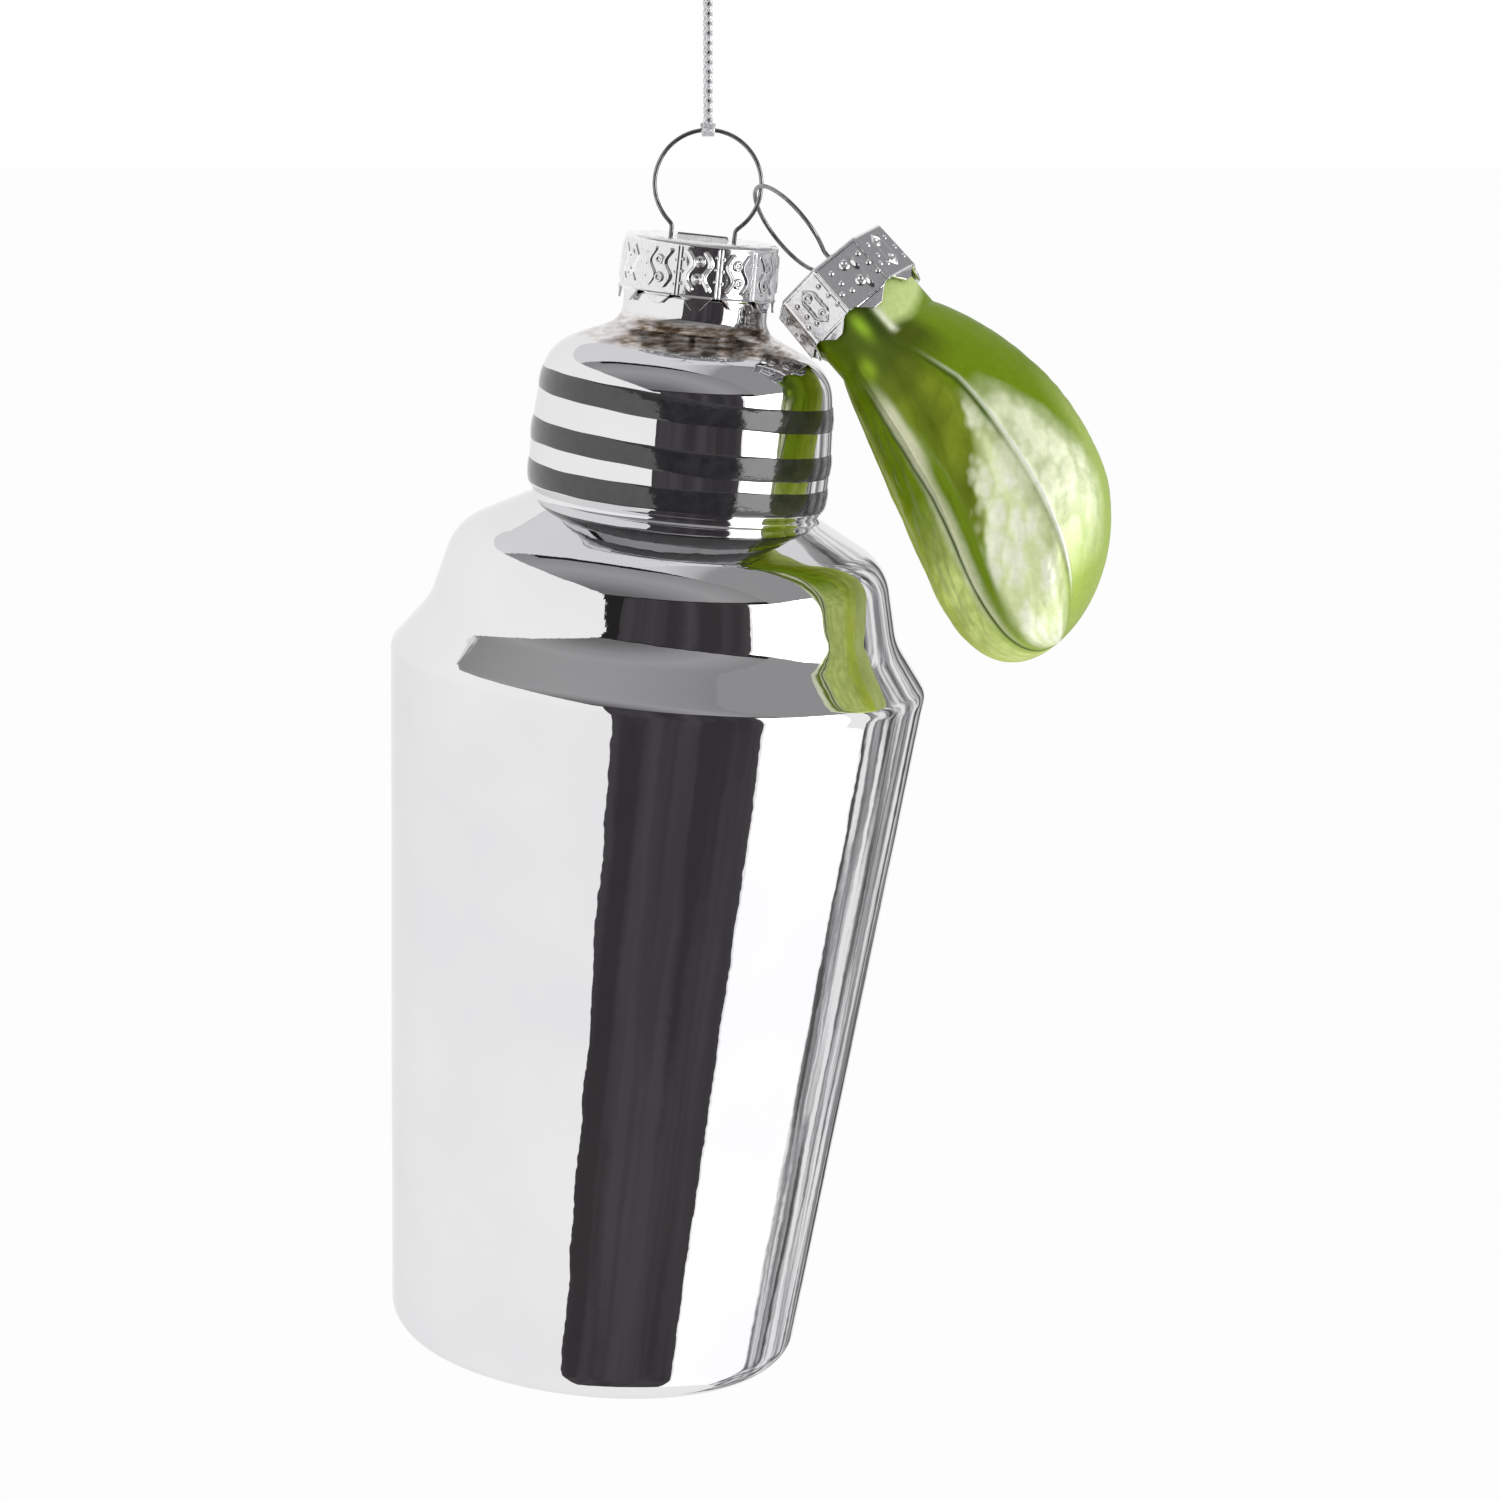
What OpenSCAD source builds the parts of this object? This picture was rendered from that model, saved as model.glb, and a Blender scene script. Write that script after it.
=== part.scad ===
// Blown-glass cocktail shaker ornament that hangs from a metallic cord,
// with a glass lime wedge linked to its hanger ring.
// The origin is the inside top of the cord's eye. +Z is up and +X is the side the lime hangs on.

/* [Shaker cup] */
// Height of the cup, from the base to the middle of its rim bead
cup_h = 69.9; // [55:0.5:85]
// Radius of the cup at the base, before the edge is rounded
cup_base_r = 20.5; // [17:0.1:24]
// Radius of the cup at the rim bead
cup_rim_r = 26.7; // [25:0.1:30]
// Radius of the rounded base edge
base_edge_r = 3.2; // [1.5:0.1:5]
// Radius of the rounded rim bead
rim_bead_r = 1.9; // [1.4:0.1:2.5]
// Wall of the blown glass
glass_wall = 0.9; // [0.6:0.05:1.1]

/* [Shaker shoulder] */
// Radius of the concave flare above the rim bead
flare_r = 5; // [3:0.1:7]
// Length of the straight side of the shoulder
shoulder_run = 5.6; // [4:0.1:9]
// Inward lean of the straight side, in degrees
shoulder_lean = 14; // [6:1:20]
// Radius of the rounded shoulder
shoulder_round = 5.7; // [4:0.1:7]
// Length of the sloping top of the shoulder
shoulder_top = 5.3; // [4:0.1:6]
// Radius of the crease between the shoulder and the lid
crease_round = 0.5; // [0.3:0.1:1]

/* [Shaker lid] */
// Radius of the curve that swells the side of the lid
lid_swell_r = 50; // [40:1:70]
// Height of the lid's side, from its foot to the rounded top edge
lid_side_h = 10.8; // [10.4:0.1:13]
// Radius of the rounded foot of the lid
lid_foot_round = 1.2; // [1.15:0.05:1.6]
// Radius of the rounded top edge of the lid
lid_round = 4.6; // [3.5:0.1:5.5]
// Width of each painted band
band_w = 2.15; // [1.5:0.05:2.4]
// Height of the lowest band's lower edge above the crease
band_lower_z = 0.95; // [0.8:0.05:1.4]
// Height of the middle band's lower edge above the crease
band_middle_z = 4.7; // [4:0.1:5.5]
// Height of the top band's lower edge above the crease
band_upper_z = 9.5; // [8.8:0.1:10.4]
// Slant of the middle band, as painted by hand, in degrees
band_middle_slant = 1.7; // [0:0.1:3]
// Slant of the top band, in degrees
band_upper_slant = 2.6; // [0:0.1:3]
// Thickness of the enamel coat
band_t = 0.1; // [0.06:0.01:0.2]

/* [Shaker neck and cap] */
// Radius of the glass neck
neck_r = 7.1; // [6.6:0.05:7.6]
// Length of the neck above its fillet
neck_h = 2; // [1.8:0.1:2.6]
// Narrowing of the neck's end, inside the cap
neck_taper = 1; // [0.4:0.1:1.2]
// Radius of the fillet at the foot of the neck
neck_fillet = 2.2; // [1.2:0.1:2.6]
// Height of the cap's wall, without its tabs
cap_wall_h = 5.2; // [4:0.1:6]
// Number of stamped panels round the cap
cap_panels = 12; // [10:1:14]
// Thickness of the stamped sheet of both caps
cap_sheet = 0.3; // [0.2:0.05:0.4]
// Outward flare of the walls of both caps, in degrees
cap_flare = 1.5; // [1:0.5:6]
// Length of the pointed tabs below the cap's wall
cap_tab_h = 1.3; // [0.8:0.1:1.6]
// Distance between the two wire holes of the cap
cap_span = 6.2; // [5:0.1:7]

/* [Hanger wire] */
// Diameter of the spring wire of both hangers
wire_d = 0.42; // [0.3:0.02:0.6]
// Radius of the hanger ring, to the middle of the wire
ring_r = 5.2; // [4.5:0.1:6.5]
// Straight rise of the wire between the cap and the ring
ring_rise = 1.1; // [0.4:0.1:2]
// Length of the spring legs inside the neck
leg_len = 20; // [14:1:26]

/* [Lime] */
// Length of the lime from the top of its cap to its tip
lime_len = 42.1; // [38:0.1:50]
// Half width of the lime at its belly
lime_belly = 10.3; // [8.5:0.1:12]
// Depth of the lime as a share of its width
lime_depth = 0.88; // [0.7:0.01:1]
// Distance of the belly from the top of the cap
lime_belly_at = 30.5; // [26:0.5:33]
// Distance of the shoulder from the top of the cap
lime_shoulder_at = 9.2; // [7.8:0.1:10.5]
// Outward bow of the lime below its neck
lime_bow = 3.4; // [1:0.1:8]
// Inward hook of the lime towards its tip
lime_hook = 10; // [7:0.1:14]
// Height of the raised pith lines
lime_pith_h = 0.35; // [0.1:0.05:0.6]
// Hollow of the two cut faces between the pith lines, as a share of the radius
lime_face_dip = 0.06; // [0:0.01:0.1]
// Wall of the lime's glass
lime_wall = 0.8; // [0.5:0.05:1]

/* [Lime neck and cap] */
// Radius of the lime's neck
lime_neck_r = 5.75; // [5.2:0.05:6.2]
// Height of the wall of the lime's cap, without its tabs
lime_cap_wall_h = 5.4; // [4:0.1:6]
// Number of flat panels round the lime's cap
lime_cap_panels = 8; // [7:1:10]
// Turn of the panels of the lime's cap against its wire, in degrees
lime_cap_turn = 17; // [0:1:45]
// Length of the tabs below the wall of the lime's cap
lime_cap_tab_h = 1.3; // [0.8:0.1:1.4]
// Distance between the two wire holes of the lime's cap
lime_cap_span = 5.6; // [4.6:0.1:6]
// Radius of the lime's hanger ring, to the middle of the wire
lime_ring_r = 5.1; // [4.5:0.1:6]
// Length of the lime's spring legs inside its neck
lime_leg_len = 13; // [10:0.5:18]

/* [Hanging] */
// Distance from the inside top of the cord's eye to the ring
cord_drop = 40; // [40:1:50]
// Diameter of the twisted cord
cord_d = 1; // [0.8:0.1:1.2]
// Lean of the hanging shaker, in degrees
hang_tilt = 6; // [0:0.5:10]
// Place of the lime's ring on the shaker's ring, in degrees below level
link_angle = 7; // [0:1:40]
// Roll of the lime's ring about the lime's length, in degrees
lime_roll = 21; // [0:1:45]
// Bend of the lime's ring against its cap, in degrees
lime_ring_bend = 1; // [0:1:20]
// Turn of the lime's tip towards the front, in degrees
lime_nod = 12; // [0:1:20]

/* [Clearances] */
// Radial clearance of a cap round its neck
cap_clear = 0.15; // [0.1:0.05:0.3]
// Distance of the shaker's neck below the inside of its cap's top
seat_gap = 4.8; // [4.4:0.1:5]
// Distance of the lime's neck below the inside of its cap's top
lime_seat_gap = 4.1; // [3.8:0.1:4.4]
// Clearance of a wire in a cap's hole
hole_clear = 0.12; // [0.05:0.01:0.2]
// Gap between a spring leg's end and the wall of its neck
leg_gap = 0.35; // [0.2:0.05:0.6]
// Gap between the two linked rings
link_gap = 0.12; // [0.06:0.01:0.2]
// Gap between the ring and the cord that wraps it
hitch_gap = 0.08; // [0.05:0.01:0.1]
// Gap between the lime's cap and the lid that it rests against
rest_gap = 0.5; // [0.3:0.05:0.6]
// Gap between the glass and the enamel coat
coat_gap = 0.02; // [0.01:0.01:0.05]

/* [Hidden] */
$fn = 96;

// Plain geometry helpers
function dir(a) = [cos(a), sin(a)];
function arc(c, r, from, to, steps = 8) = [for (i = [0:steps]) c + r * dir(from + (to - from) * i / steps)];
function back(list) = [for (i = [len(list) - 1:-1:0]) list[i]];
function turn_x(v, a) = [v.x, v.y * cos(a) - v.z * sin(a), v.y * sin(a) + v.z * cos(a)];
function turn_y(v, a) = [v.x * cos(a) + v.z * sin(a), v.y, v.z * cos(a) - v.x * sin(a)];
function turn_z(v, a) = [v.x * cos(a) - v.y * sin(a), v.x * sin(a) + v.y * cos(a), v.z];

// Shaker profile: a chain of tangent arcs, in radius and height above the base
bead_turn = 60;
shoulder_pitch = 62;
foot_turn = 45;
swell_low = 4;
lid_pitch = 66;
taper = atan((cup_rim_r - cup_base_r) / cup_h);
swell_high = asin(lid_side_h / lid_swell_r - sin(swell_low));
base_c = [cup_base_r + base_edge_r * (tan(taper) - 1 / cos(taper)), base_edge_r];
bead_c = [cup_rim_r - rim_bead_r, cup_h];
flare_c = bead_c + (rim_bead_r + flare_r) * dir(bead_turn);
side_top = flare_c - flare_r * dir(shoulder_lean) + shoulder_run * dir(90 + shoulder_lean);
shoulder_c = side_top - shoulder_round * dir(shoulder_lean);
slope_end = shoulder_c + shoulder_round * dir(shoulder_pitch) + shoulder_top * dir(90 + shoulder_pitch);
crease_c = slope_end + crease_round * dir(shoulder_pitch);
foot_c = crease_c + (crease_round + lid_foot_round) * dir(180 - foot_turn);
swell_c = foot_c + (lid_foot_round - lid_swell_r) * dir(-swell_low);
lid_c = swell_c + (lid_swell_r - lid_round) * dir(swell_high);
lid_edge = lid_c + lid_round * dir(lid_pitch);
fillet_x = neck_r + neck_fillet;
fillet_run = (lid_edge.x + neck_fillet * cos(lid_pitch) - fillet_x) / sin(lid_pitch);
fillet_c = lid_edge + neck_fillet * dir(lid_pitch) + fillet_run * dir(90 + lid_pitch);
neck_top = fillet_c.y + neck_h;
neck_straight = 0.3;
neck_end_r = neck_r - neck_taper;
cap_top = neck_top + seat_gap + cap_sheet;

// Hangers and the places where they hang
wire_r = wire_d / 2;
cap_r = neck_r + cap_clear + cap_sheet;
lime_cap_r = lime_neck_r + cap_clear + cap_sheet;
ring_h = ring_height(ring_r, cap_span);
ring_at = [0, 0, -cord_drop - ring_r];
shaker_at = ring_at - turn_y([0, 0, cap_top + ring_h], hang_tilt);
lime_ring_top = ring_height(lime_ring_r, lime_cap_span) + lime_ring_r;
link_r = ring_r - wire_d - link_gap;
link_at = ring_at + link_r * [cos(link_angle), 0, -sin(link_angle)];

// Outline of the lime: its sway and its half width at a distance s below the top of its cap
swell_power = 0.85;
lime_tip_power = 2.1;

function lime_share(s) = (s - lime_shoulder_at) / (lime_len - lime_shoulder_at);
function lime_sway(s) = lime_share(s) < 0 ? 0 : lime_bow * lime_share(s) - lime_hook * lime_share(s) ^ 2;
function lime_swell(s) = sin(90 * (s - lime_shoulder_at) / (lime_belly_at - lime_shoulder_at)) ^ swell_power;
function lime_round_off(s) = 1 - ((s - lime_belly_at) / (lime_len - lime_belly_at)) ^ lime_tip_power;
function lime_half(s) = s <= lime_shoulder_at ? lime_neck_r
    : s < lime_belly_at ? lime_neck_r + (lime_belly - lime_neck_r) * lime_swell(s)
    : lime_belly * max(0, lime_round_off(s)) ^ (1 / lime_tip_power);

// The lime leans on the rounded edge of the lid, with the lower edge of its cap or with a spot of its glass,
// whichever of them comes to the lid first
lime_cap_h = lime_cap_wall_h + lime_cap_tab_h;
ring_reach = turn_z(turn_y([0, 0, lime_ring_top], -lime_ring_bend), lime_roll);
rest_len = lid_round + rest_gap;
rest_steps = 12;
rest_spots = concat(
    [[-lime_cap_low_r(lime_cap_wall_h) / cos(180 / lime_cap_panels), 0, -lime_cap_wall_h],
        [-lime_cap_low_r(lime_cap_h), 0, -lime_cap_h]],
    [for (i = [0:rest_steps])
        let (s = lime_shoulder_at + (lime_belly_at - lime_shoulder_at) * i / rest_steps)
        [lime_sway(s) - lime_half(s), 0, -s]]);

function lime_cap_low_r(h) = lime_cap_r + h * tan(cap_flare);
function reach_of(spot) = turn_x(spot - ring_reach, -lime_nod);
function lid_spot(y) = shaker_at - link_at + turn_y([sqrt(max(0, lid_c.x ^ 2 - y ^ 2)), 0, lid_c.y], hang_tilt);
function flat_len(v) = norm([v.x, v.z]);
function can_rest(len, far) = len + rest_len > far && abs(len - rest_len) < far;
function rest_angle(len, far) = acos((len ^ 2 + far ^ 2 - rest_len ^ 2) / (2 * len * far));

lime_lean = max([for (spot = rest_spots)
    let (reach = reach_of(spot), edge = lid_spot(reach.y), len = flat_len(reach), far = flat_len(edge))
    if (can_rest(len, far)) atan2(edge.z, edge.x) + rest_angle(len, far) - atan2(reach.z, reach.x)]);
lime_at = link_at + turn_y(reach_of([0, 0, 0]), -lime_lean);

// Height of a ring's centre above its cap
function ring_height(r, span) = ring_rise + sqrt(r ^ 2 - (span / 2) ^ 2);

// Cord route, at points chosen by hand along its stem and its eye
cord_stem = [[0, 0, -37], [0, 0, -34], [0, 0, -31], [0, 0, -28], [0, 0, -25], [0, 0, -22], [0, 0, -20]];
cord_eye = [[0.3, 0, -18.5], [1, 0, -17], [2, 0, -15], [3.3, 0, -12.5], [4.4, 0, -10], [5, 0, -7.5],
    [4.9, 0, -5], [3.9, 0, -2.5], [2.2, 0, -0.4], [0, 0, 0.5], [-2.2, 0, -0.4], [-3.9, 0, -2.5],
    [-4.9, 0, -5], [-5, 0, -7.5], [-4.4, 0, -10], [-3.3, 0, -12.5], [-2, 0, -15], [-1.2, 0, -16.6]];
cord_sides = 8;
knot_at = [0, 0, -18.2];

// The cord's lower end is tied round the top of the ring with wraps of one strand
strand_r = 0.2;
wrap_r = wire_r + hitch_gap + strand_r;
wrap_step = 1.9 * strand_r;
wraps = 4;
cord_end = [0, 0, wrap_r - cord_drop];
cord_route = concat([cord_end], cord_stem, cord_eye);

// Glass of the shaker: the line of its wall at a depth w below the outside
function lid_line(w) = concat(
    arc(foot_c, lid_foot_round - w, -foot_turn, -swell_low),
    arc(swell_c, lid_swell_r - w, -swell_low, swell_high),
    arc(lid_c, lid_round - w, swell_high, lid_pitch));
function shell_line(w) = concat(
    arc(base_c, base_edge_r - w, -90, -taper),
    arc(bead_c, rim_bead_r - w, -taper, bead_turn),
    arc(flare_c, flare_r + w, 180 + bead_turn, 180 + shoulder_lean),
    arc(shoulder_c, shoulder_round - w, shoulder_lean, shoulder_pitch),
    arc(crease_c, crease_round + w, 180 + shoulder_pitch, 180 - foot_turn),
    lid_line(w),
    arc(fillet_c, neck_fillet + w, 180 + lid_pitch, 180));

module hang_shaker() {
    translate(shaker_at) rotate([0, hang_tilt, 0]) children();
}

module shaker_glass() {
    neck_end = [[neck_r, fillet_c.y + neck_straight * neck_h], [neck_end_r, neck_top],
        [neck_end_r - glass_wall, neck_top]];
    outline = concat([[0, 0]], shell_line(0), neck_end, back(shell_line(glass_wall)), [[0, glass_wall]]);
    color("silver") hang_shaker() rotate_extrude() polygon(outline);
}

// Painted bands: coats on the lid, each between two planes
module band(low, slant) {
    color("black") hang_shaker() intersection() {
        rotate_extrude() polygon(concat(lid_line(-coat_gap), back(lid_line(-coat_gap - band_t))));
        translate([0, 0, crease_c.y + low]) rotate([0, slant, 0]) cylinder(h = band_w, r = cup_rim_r);
    }
}

module band_upper() {
    band(band_upper_z, band_upper_slant);
}

module band_middle() {
    band(band_middle_z, band_middle_slant);
}

module band_lower() {
    band(band_lower_z, 0);
}

// Stamped cap, with its top face at height 0: a flared cup with pointed tabs, one to each panel
cap_edge_r = 0.5;
tab_root = 0.74;
tab_tip = 0.22;
cut_over = 1;
rib_angle = 2.4;
rib_h = 0.12;
lime_rib_h = 0.05;
rib_top = 0.8;
bridge_r = 0.7;

function cap_outline(r, full_h) =
    let (flare = full_h * tan(cap_flare))
    concat([[0, 0]], arc([r - cap_edge_r, -cap_edge_r], cap_edge_r, 90, 0, 4),
        [[r + flare, -full_h], [r + flare - cap_sheet, -full_h], [r - cap_sheet, -cap_edge_r],
            [r - cap_edge_r, -cap_sheet], [0, -cap_sheet]]);

module cap_rib(r, wall_h, rib_h) {
    spread = tan(cap_flare);
    rotate([0, 0, -rib_angle / 2]) rotate_extrude(angle = rib_angle)
        polygon([[r + rib_top * spread - rib_h, -rib_top], [r + rib_top * spread + rib_h, -rib_top],
            [r + wall_h * spread + rib_h, -wall_h - rib_h], [r + wall_h * spread - rib_h, -wall_h - rib_h]]);
}

module bridge(len) {
    rotate([0, 90, 0]) cylinder(h = len, r = bridge_r, center = true);
}

module tab_notch(low_r, pitch, tab_h) {
    root = (1 - tab_root) * pitch / 2;
    tip = (1 - tab_tip) * pitch / 2;
    half = [[root, 0], [tip, -tab_h], [tip, -tab_h - cut_over]];
    translate([low_r - cut_over, 0, 0]) rotate([90, 0, 90]) linear_extrude(2 * cut_over)
        polygon(concat(half, [for (p = back(half)) [-p.x, p.y]]));
}

module stamped_cap(r, wall_h, tab_h, panels, span, first_seam, rib_h, fn) {
    full_h = wall_h + tab_h;
    low_r = r + full_h * tan(cap_flare);
    pitch = 2 * low_r * sin(180 / panels);
    seams = [for (i = [0:panels - 1]) first_seam + i * 360 / panels];
    difference() {
        union() {
            rotate([0, 0, first_seam]) rotate_extrude($fn = fn) polygon(cap_outline(r, full_h));
            for (a = seams)
                rotate([0, 0, a]) cap_rib(r, wall_h, rib_h);
            bridge(span - 2 * wire_d - 2 * hole_clear);
        }
        for (a = seams)
            rotate([0, 0, a]) translate([0, 0, -wall_h]) tab_notch(low_r, pitch, tab_h);
        for (side = [-1, 1])
            translate([side * span / 2, 0, -cap_sheet - cut_over])
                cylinder(h = cap_sheet + 2 * cut_over, r = wire_r + hole_clear);
    }
}

module shaker_cap() {
    color("gainsboro") hang_shaker() translate([0, 0, cap_top])
        stamped_cap(cap_r, cap_wall_h, cap_tab_h, cap_panels, cap_span, 180 / cap_panels, rib_h, $fn);
}

// Hanger bent from one wire: a ring above the cap, and two legs that spring apart in the neck
joint_r = wire_r * 1.04;

module ring_part(r, span) {
    open = asin(span / 2 / r);
    translate([0, 0, ring_height(r, span)]) rotate([90, 0, 0]) rotate([0, 0, open - 90])
        rotate_extrude(angle = 360 - 2 * open) translate([r, 0]) circle(wire_r);
}

module leg_part(span, end_x, len) {
    splay = atan((end_x - span / 2) / len);
    for (side = [0, 1])
        mirror([side, 0, 0]) {
            translate([span / 2, 0, -cap_sheet - wire_d]) {
                sphere(joint_r);
                rotate([0, 180 - splay, 0]) cylinder(h = len / cos(splay), r = wire_r);
                cylinder(h = cap_sheet + wire_d, r = wire_r);
            }
        }
}

module rise_part(span) {
    for (side = [-1, 1])
        translate([side * span / 2, 0, 0]) {
            cylinder(h = ring_rise, r = wire_r);
            for (z = [0, ring_rise])
                translate([0, 0, z]) sphere(joint_r);
        }
}

module shaker_hanger() {
    color("slategray") hang_shaker() translate([0, 0, cap_top]) {
        ring_part(ring_r, cap_span);
        rise_part(cap_span);
        leg_part(cap_span, neck_end_r - glass_wall - wire_r - leg_gap, leg_len);
    }
}

// Lime: a bowed loft with two hollowed cut faces, open at its neck
lime_sides = 48;
face_angle = 52.5;
pith_angles = [for (k = [0:2]) -75 - k * face_angle];
form_power = 0.6;
lime_neck_top = -cap_sheet - lime_seat_gap;

// Share of the full cut-face form that a section has, and the form itself round the section
function lime_form(s) = lime_share(s) <= 0 ? 0 : sin(180 * min(1, lime_share(s))) ^ form_power;
function face_share(a, from) = a > from || a < from - face_angle ? 0 : sin(180 * (from - a) / face_angle) ^ 2;
function face_dip(a) = lime_face_dip * (face_share(a, pith_angles[0]) + face_share(a, pith_angles[1]));
function pith(a) = len([for (p = pith_angles) if (abs(a - p) < 1) p]) > 0 ? lime_pith_h : 0;

function lime_section(s, inset) = [for (i = [0:lime_sides - 1])
    let (a = -180 + 360 * i / lime_sides,
        half = lime_half(s) - inset,
        depth = s <= lime_shoulder_at ? half : half * (1 - (1 - lime_depth) * lime_form(s)),
        grow = 1 - face_dip(a) * lime_form(s) + (inset > 0 ? 0 : pith(a) * lime_form(s) / lime_half(s)))
    [lime_sway(s) + half * grow * cos(a), depth * grow * sin(a), -s]];

// Distances of the sections from the cap, closer together where the tip rounds off
tip_ease = 0.35;
function lime_stations(steps, end) = concat(
    [-lime_neck_top, lime_shoulder_at],
    [for (i = [1:steps]) lime_shoulder_at + (end - lime_shoulder_at) * sin(90 * i / (steps + tip_ease))]);

module lime_shell() {
    outer_s = lime_stations(22, lime_len);
    inner_s = lime_stations(14, lime_len - lime_wall);
    rings = concat(
        [for (s = back(outer_s)) lime_section(s, 0)],
        [for (s = inner_s) lime_section(s, lime_wall)]);
    count = len(rings);
    n = lime_sides;
    tips = [[lime_sway(lime_len), 0, -lime_len], [lime_sway(lime_len), 0, lime_wall - lime_len]];
    points = concat([for (ring = rings) for (p = ring) p], tips);
    walls = [for (k = [0:count - 2]) for (i = [0:n - 1])
        let (j = (i + 1) % n)
        each [[k * n + i, (k + 1) * n + i, (k + 1) * n + j], [k * n + i, (k + 1) * n + j, k * n + j]]];
    outer_tip = [for (i = [0:n - 1]) [count * n, i, (i + 1) % n]];
    inner_tip = [for (i = [0:n - 1]) [count * n + 1, (count - 1) * n + (i + 1) % n, (count - 1) * n + i]];
    polyhedron(points, concat(walls, outer_tip, inner_tip));
}

module hang_lime() {
    translate(lime_at) rotate([0, -lime_lean, 0]) rotate([-lime_nod, 0, 0]) children();
}

module lime_glass() {
    color("yellowgreen") hang_lime() lime_shell();
}

module lime_cap() {
    color("gainsboro") hang_lime() rotate([0, 0, 90 + lime_roll])
        stamped_cap(lime_cap_r / cos(180 / lime_cap_panels), lime_cap_wall_h, lime_cap_tab_h, lime_cap_panels,
            lime_cap_span, lime_cap_turn, lime_rib_h, lime_cap_panels);
}

module lime_hanger() {
    color("slategray") hang_lime() rotate([0, 0, 90 + lime_roll]) {
        rotate([-lime_ring_bend, 0, 0]) {
            ring_part(lime_ring_r, lime_cap_span);
            rise_part(lime_cap_span);
        }
        leg_part(lime_cap_span, lime_neck_r - lime_wall - wire_r - leg_gap, lime_leg_len);
    }
}

// Cord: one tube along the route, which lies in the plane of the ring
function route_way(i) = cord_route[min(i + 1, len(cord_route) - 1)] - cord_route[max(i - 1, 0)];
function cord_ring(i) =
    let (way = route_way(i) / norm(route_way(i)), side = [way.z, 0, -way.x])
    [for (k = [0:cord_sides - 1])
        let (a = 360 * k / cord_sides)
        cord_route[i] + cord_d / 2 * (cos(a) * side + sin(a) * [0, 1, 0])];

module hanging_cord() {
    rings = [for (i = [0:len(cord_route) - 1]) cord_ring(i)];
    count = len(rings);
    n = cord_sides;
    walls = [for (k = [0:count - 2]) for (i = [0:n - 1])
        let (j = (i + 1) % n)
        each [[k * n + i, (k + 1) * n + i, (k + 1) * n + j], [k * n + i, (k + 1) * n + j, k * n + j]]];
    ends = [for (i = [1:n - 2]) each [[0, i, i + 1],
        [(count - 1) * n, (count - 1) * n + i + 1, (count - 1) * n + i]]];
    color("lightgray") polyhedron([for (ring = rings) for (p = ring) p], concat(walls, ends));
}

module cord_hitch() {
    color("lightgray") translate([0, 0, -cord_drop]) rotate([0, 90, 0])
        for (k = [0:wraps - 1])
            translate([0, 0, (k - (wraps - 1) / 2) * wrap_step])
                rotate_extrude() translate([wrap_r, 0]) circle(strand_r);
}

// Knot that closes the eye: three turns round the cord
module cord_knot() {
    turn_r = 0.45 * cord_d;
    core_r = 0.75 * cord_d;
    turn_step = 1.5 * turn_r;
    color("lightgray") translate(knot_at) {
        cylinder(h = 2 * turn_step, r = core_r, center = true);
        for (k = [-1:1])
            translate([0, 0, k * turn_step]) rotate_extrude() translate([core_r, 0]) circle(turn_r);
    }
}

shaker_glass();
band_upper();
band_middle();
band_lower();
shaker_cap();
shaker_hanger();
lime_glass();
lime_cap();
lime_hanger();
hanging_cord();
cord_hitch();
cord_knot();
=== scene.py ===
"""Looks of the cocktail shaker ornament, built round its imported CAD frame.

Sizes are in millimetres until a mesh is made, and repeat the sizes of the CAD source. The stage is in metres.
"""

import math

import bpy
import numpy as np
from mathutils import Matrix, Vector


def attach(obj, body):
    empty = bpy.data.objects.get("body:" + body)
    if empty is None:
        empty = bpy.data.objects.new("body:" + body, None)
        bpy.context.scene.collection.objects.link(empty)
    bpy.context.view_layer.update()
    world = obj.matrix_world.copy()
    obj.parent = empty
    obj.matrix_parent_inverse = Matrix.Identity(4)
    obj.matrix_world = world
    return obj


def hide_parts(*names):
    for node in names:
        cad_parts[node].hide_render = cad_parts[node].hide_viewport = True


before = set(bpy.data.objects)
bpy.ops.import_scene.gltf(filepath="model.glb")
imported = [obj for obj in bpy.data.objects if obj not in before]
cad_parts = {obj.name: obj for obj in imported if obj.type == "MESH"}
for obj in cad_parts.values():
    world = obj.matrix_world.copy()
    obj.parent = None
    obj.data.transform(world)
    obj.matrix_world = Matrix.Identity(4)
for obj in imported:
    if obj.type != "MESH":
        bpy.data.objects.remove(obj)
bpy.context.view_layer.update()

MM = 0.001
rng = np.random.default_rng(7)

# Places of the two hanging pieces in the row frame, as the CAD source works them out
SHAKER_AT = np.array([-12.3299, 0, -162.512])
SHAKER_TILT = 6
LIME_AT = np.array([11.5407, -2.11096, -53.3301])
LIME_LEAN = -41.4892
LIME_NOD = 12
LIME_ROLL = 111

# Camera, matched to the photograph
CAMERA_AT = (0.00408, -0.37302, -0.02873)
CAMERA_PITCH = 79
CAMERA_LENS = 91.2
CAMERA_SENSOR = 36
CAMERA_NEAR = 0.01


# Geometry helpers
def turned(points, angle, at):
    """Points turned about Y by an angle in degrees, as the CAD turns them, and moved to their place."""
    a = math.radians(angle)
    x, y, z = np.moveaxis(np.asarray(points, float), -1, 0)
    return np.stack([x * math.cos(a) + z * math.sin(a), y, z * math.cos(a) - x * math.sin(a)], -1) + at


def spun(points, angle):
    """Points turned about Z by an angle in degrees."""
    a = math.radians(angle)
    x, y, z = np.moveaxis(np.asarray(points, float), -1, 0)
    return np.stack([x * math.cos(a) - y * math.sin(a), x * math.sin(a) + y * math.cos(a), z], -1)


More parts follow.
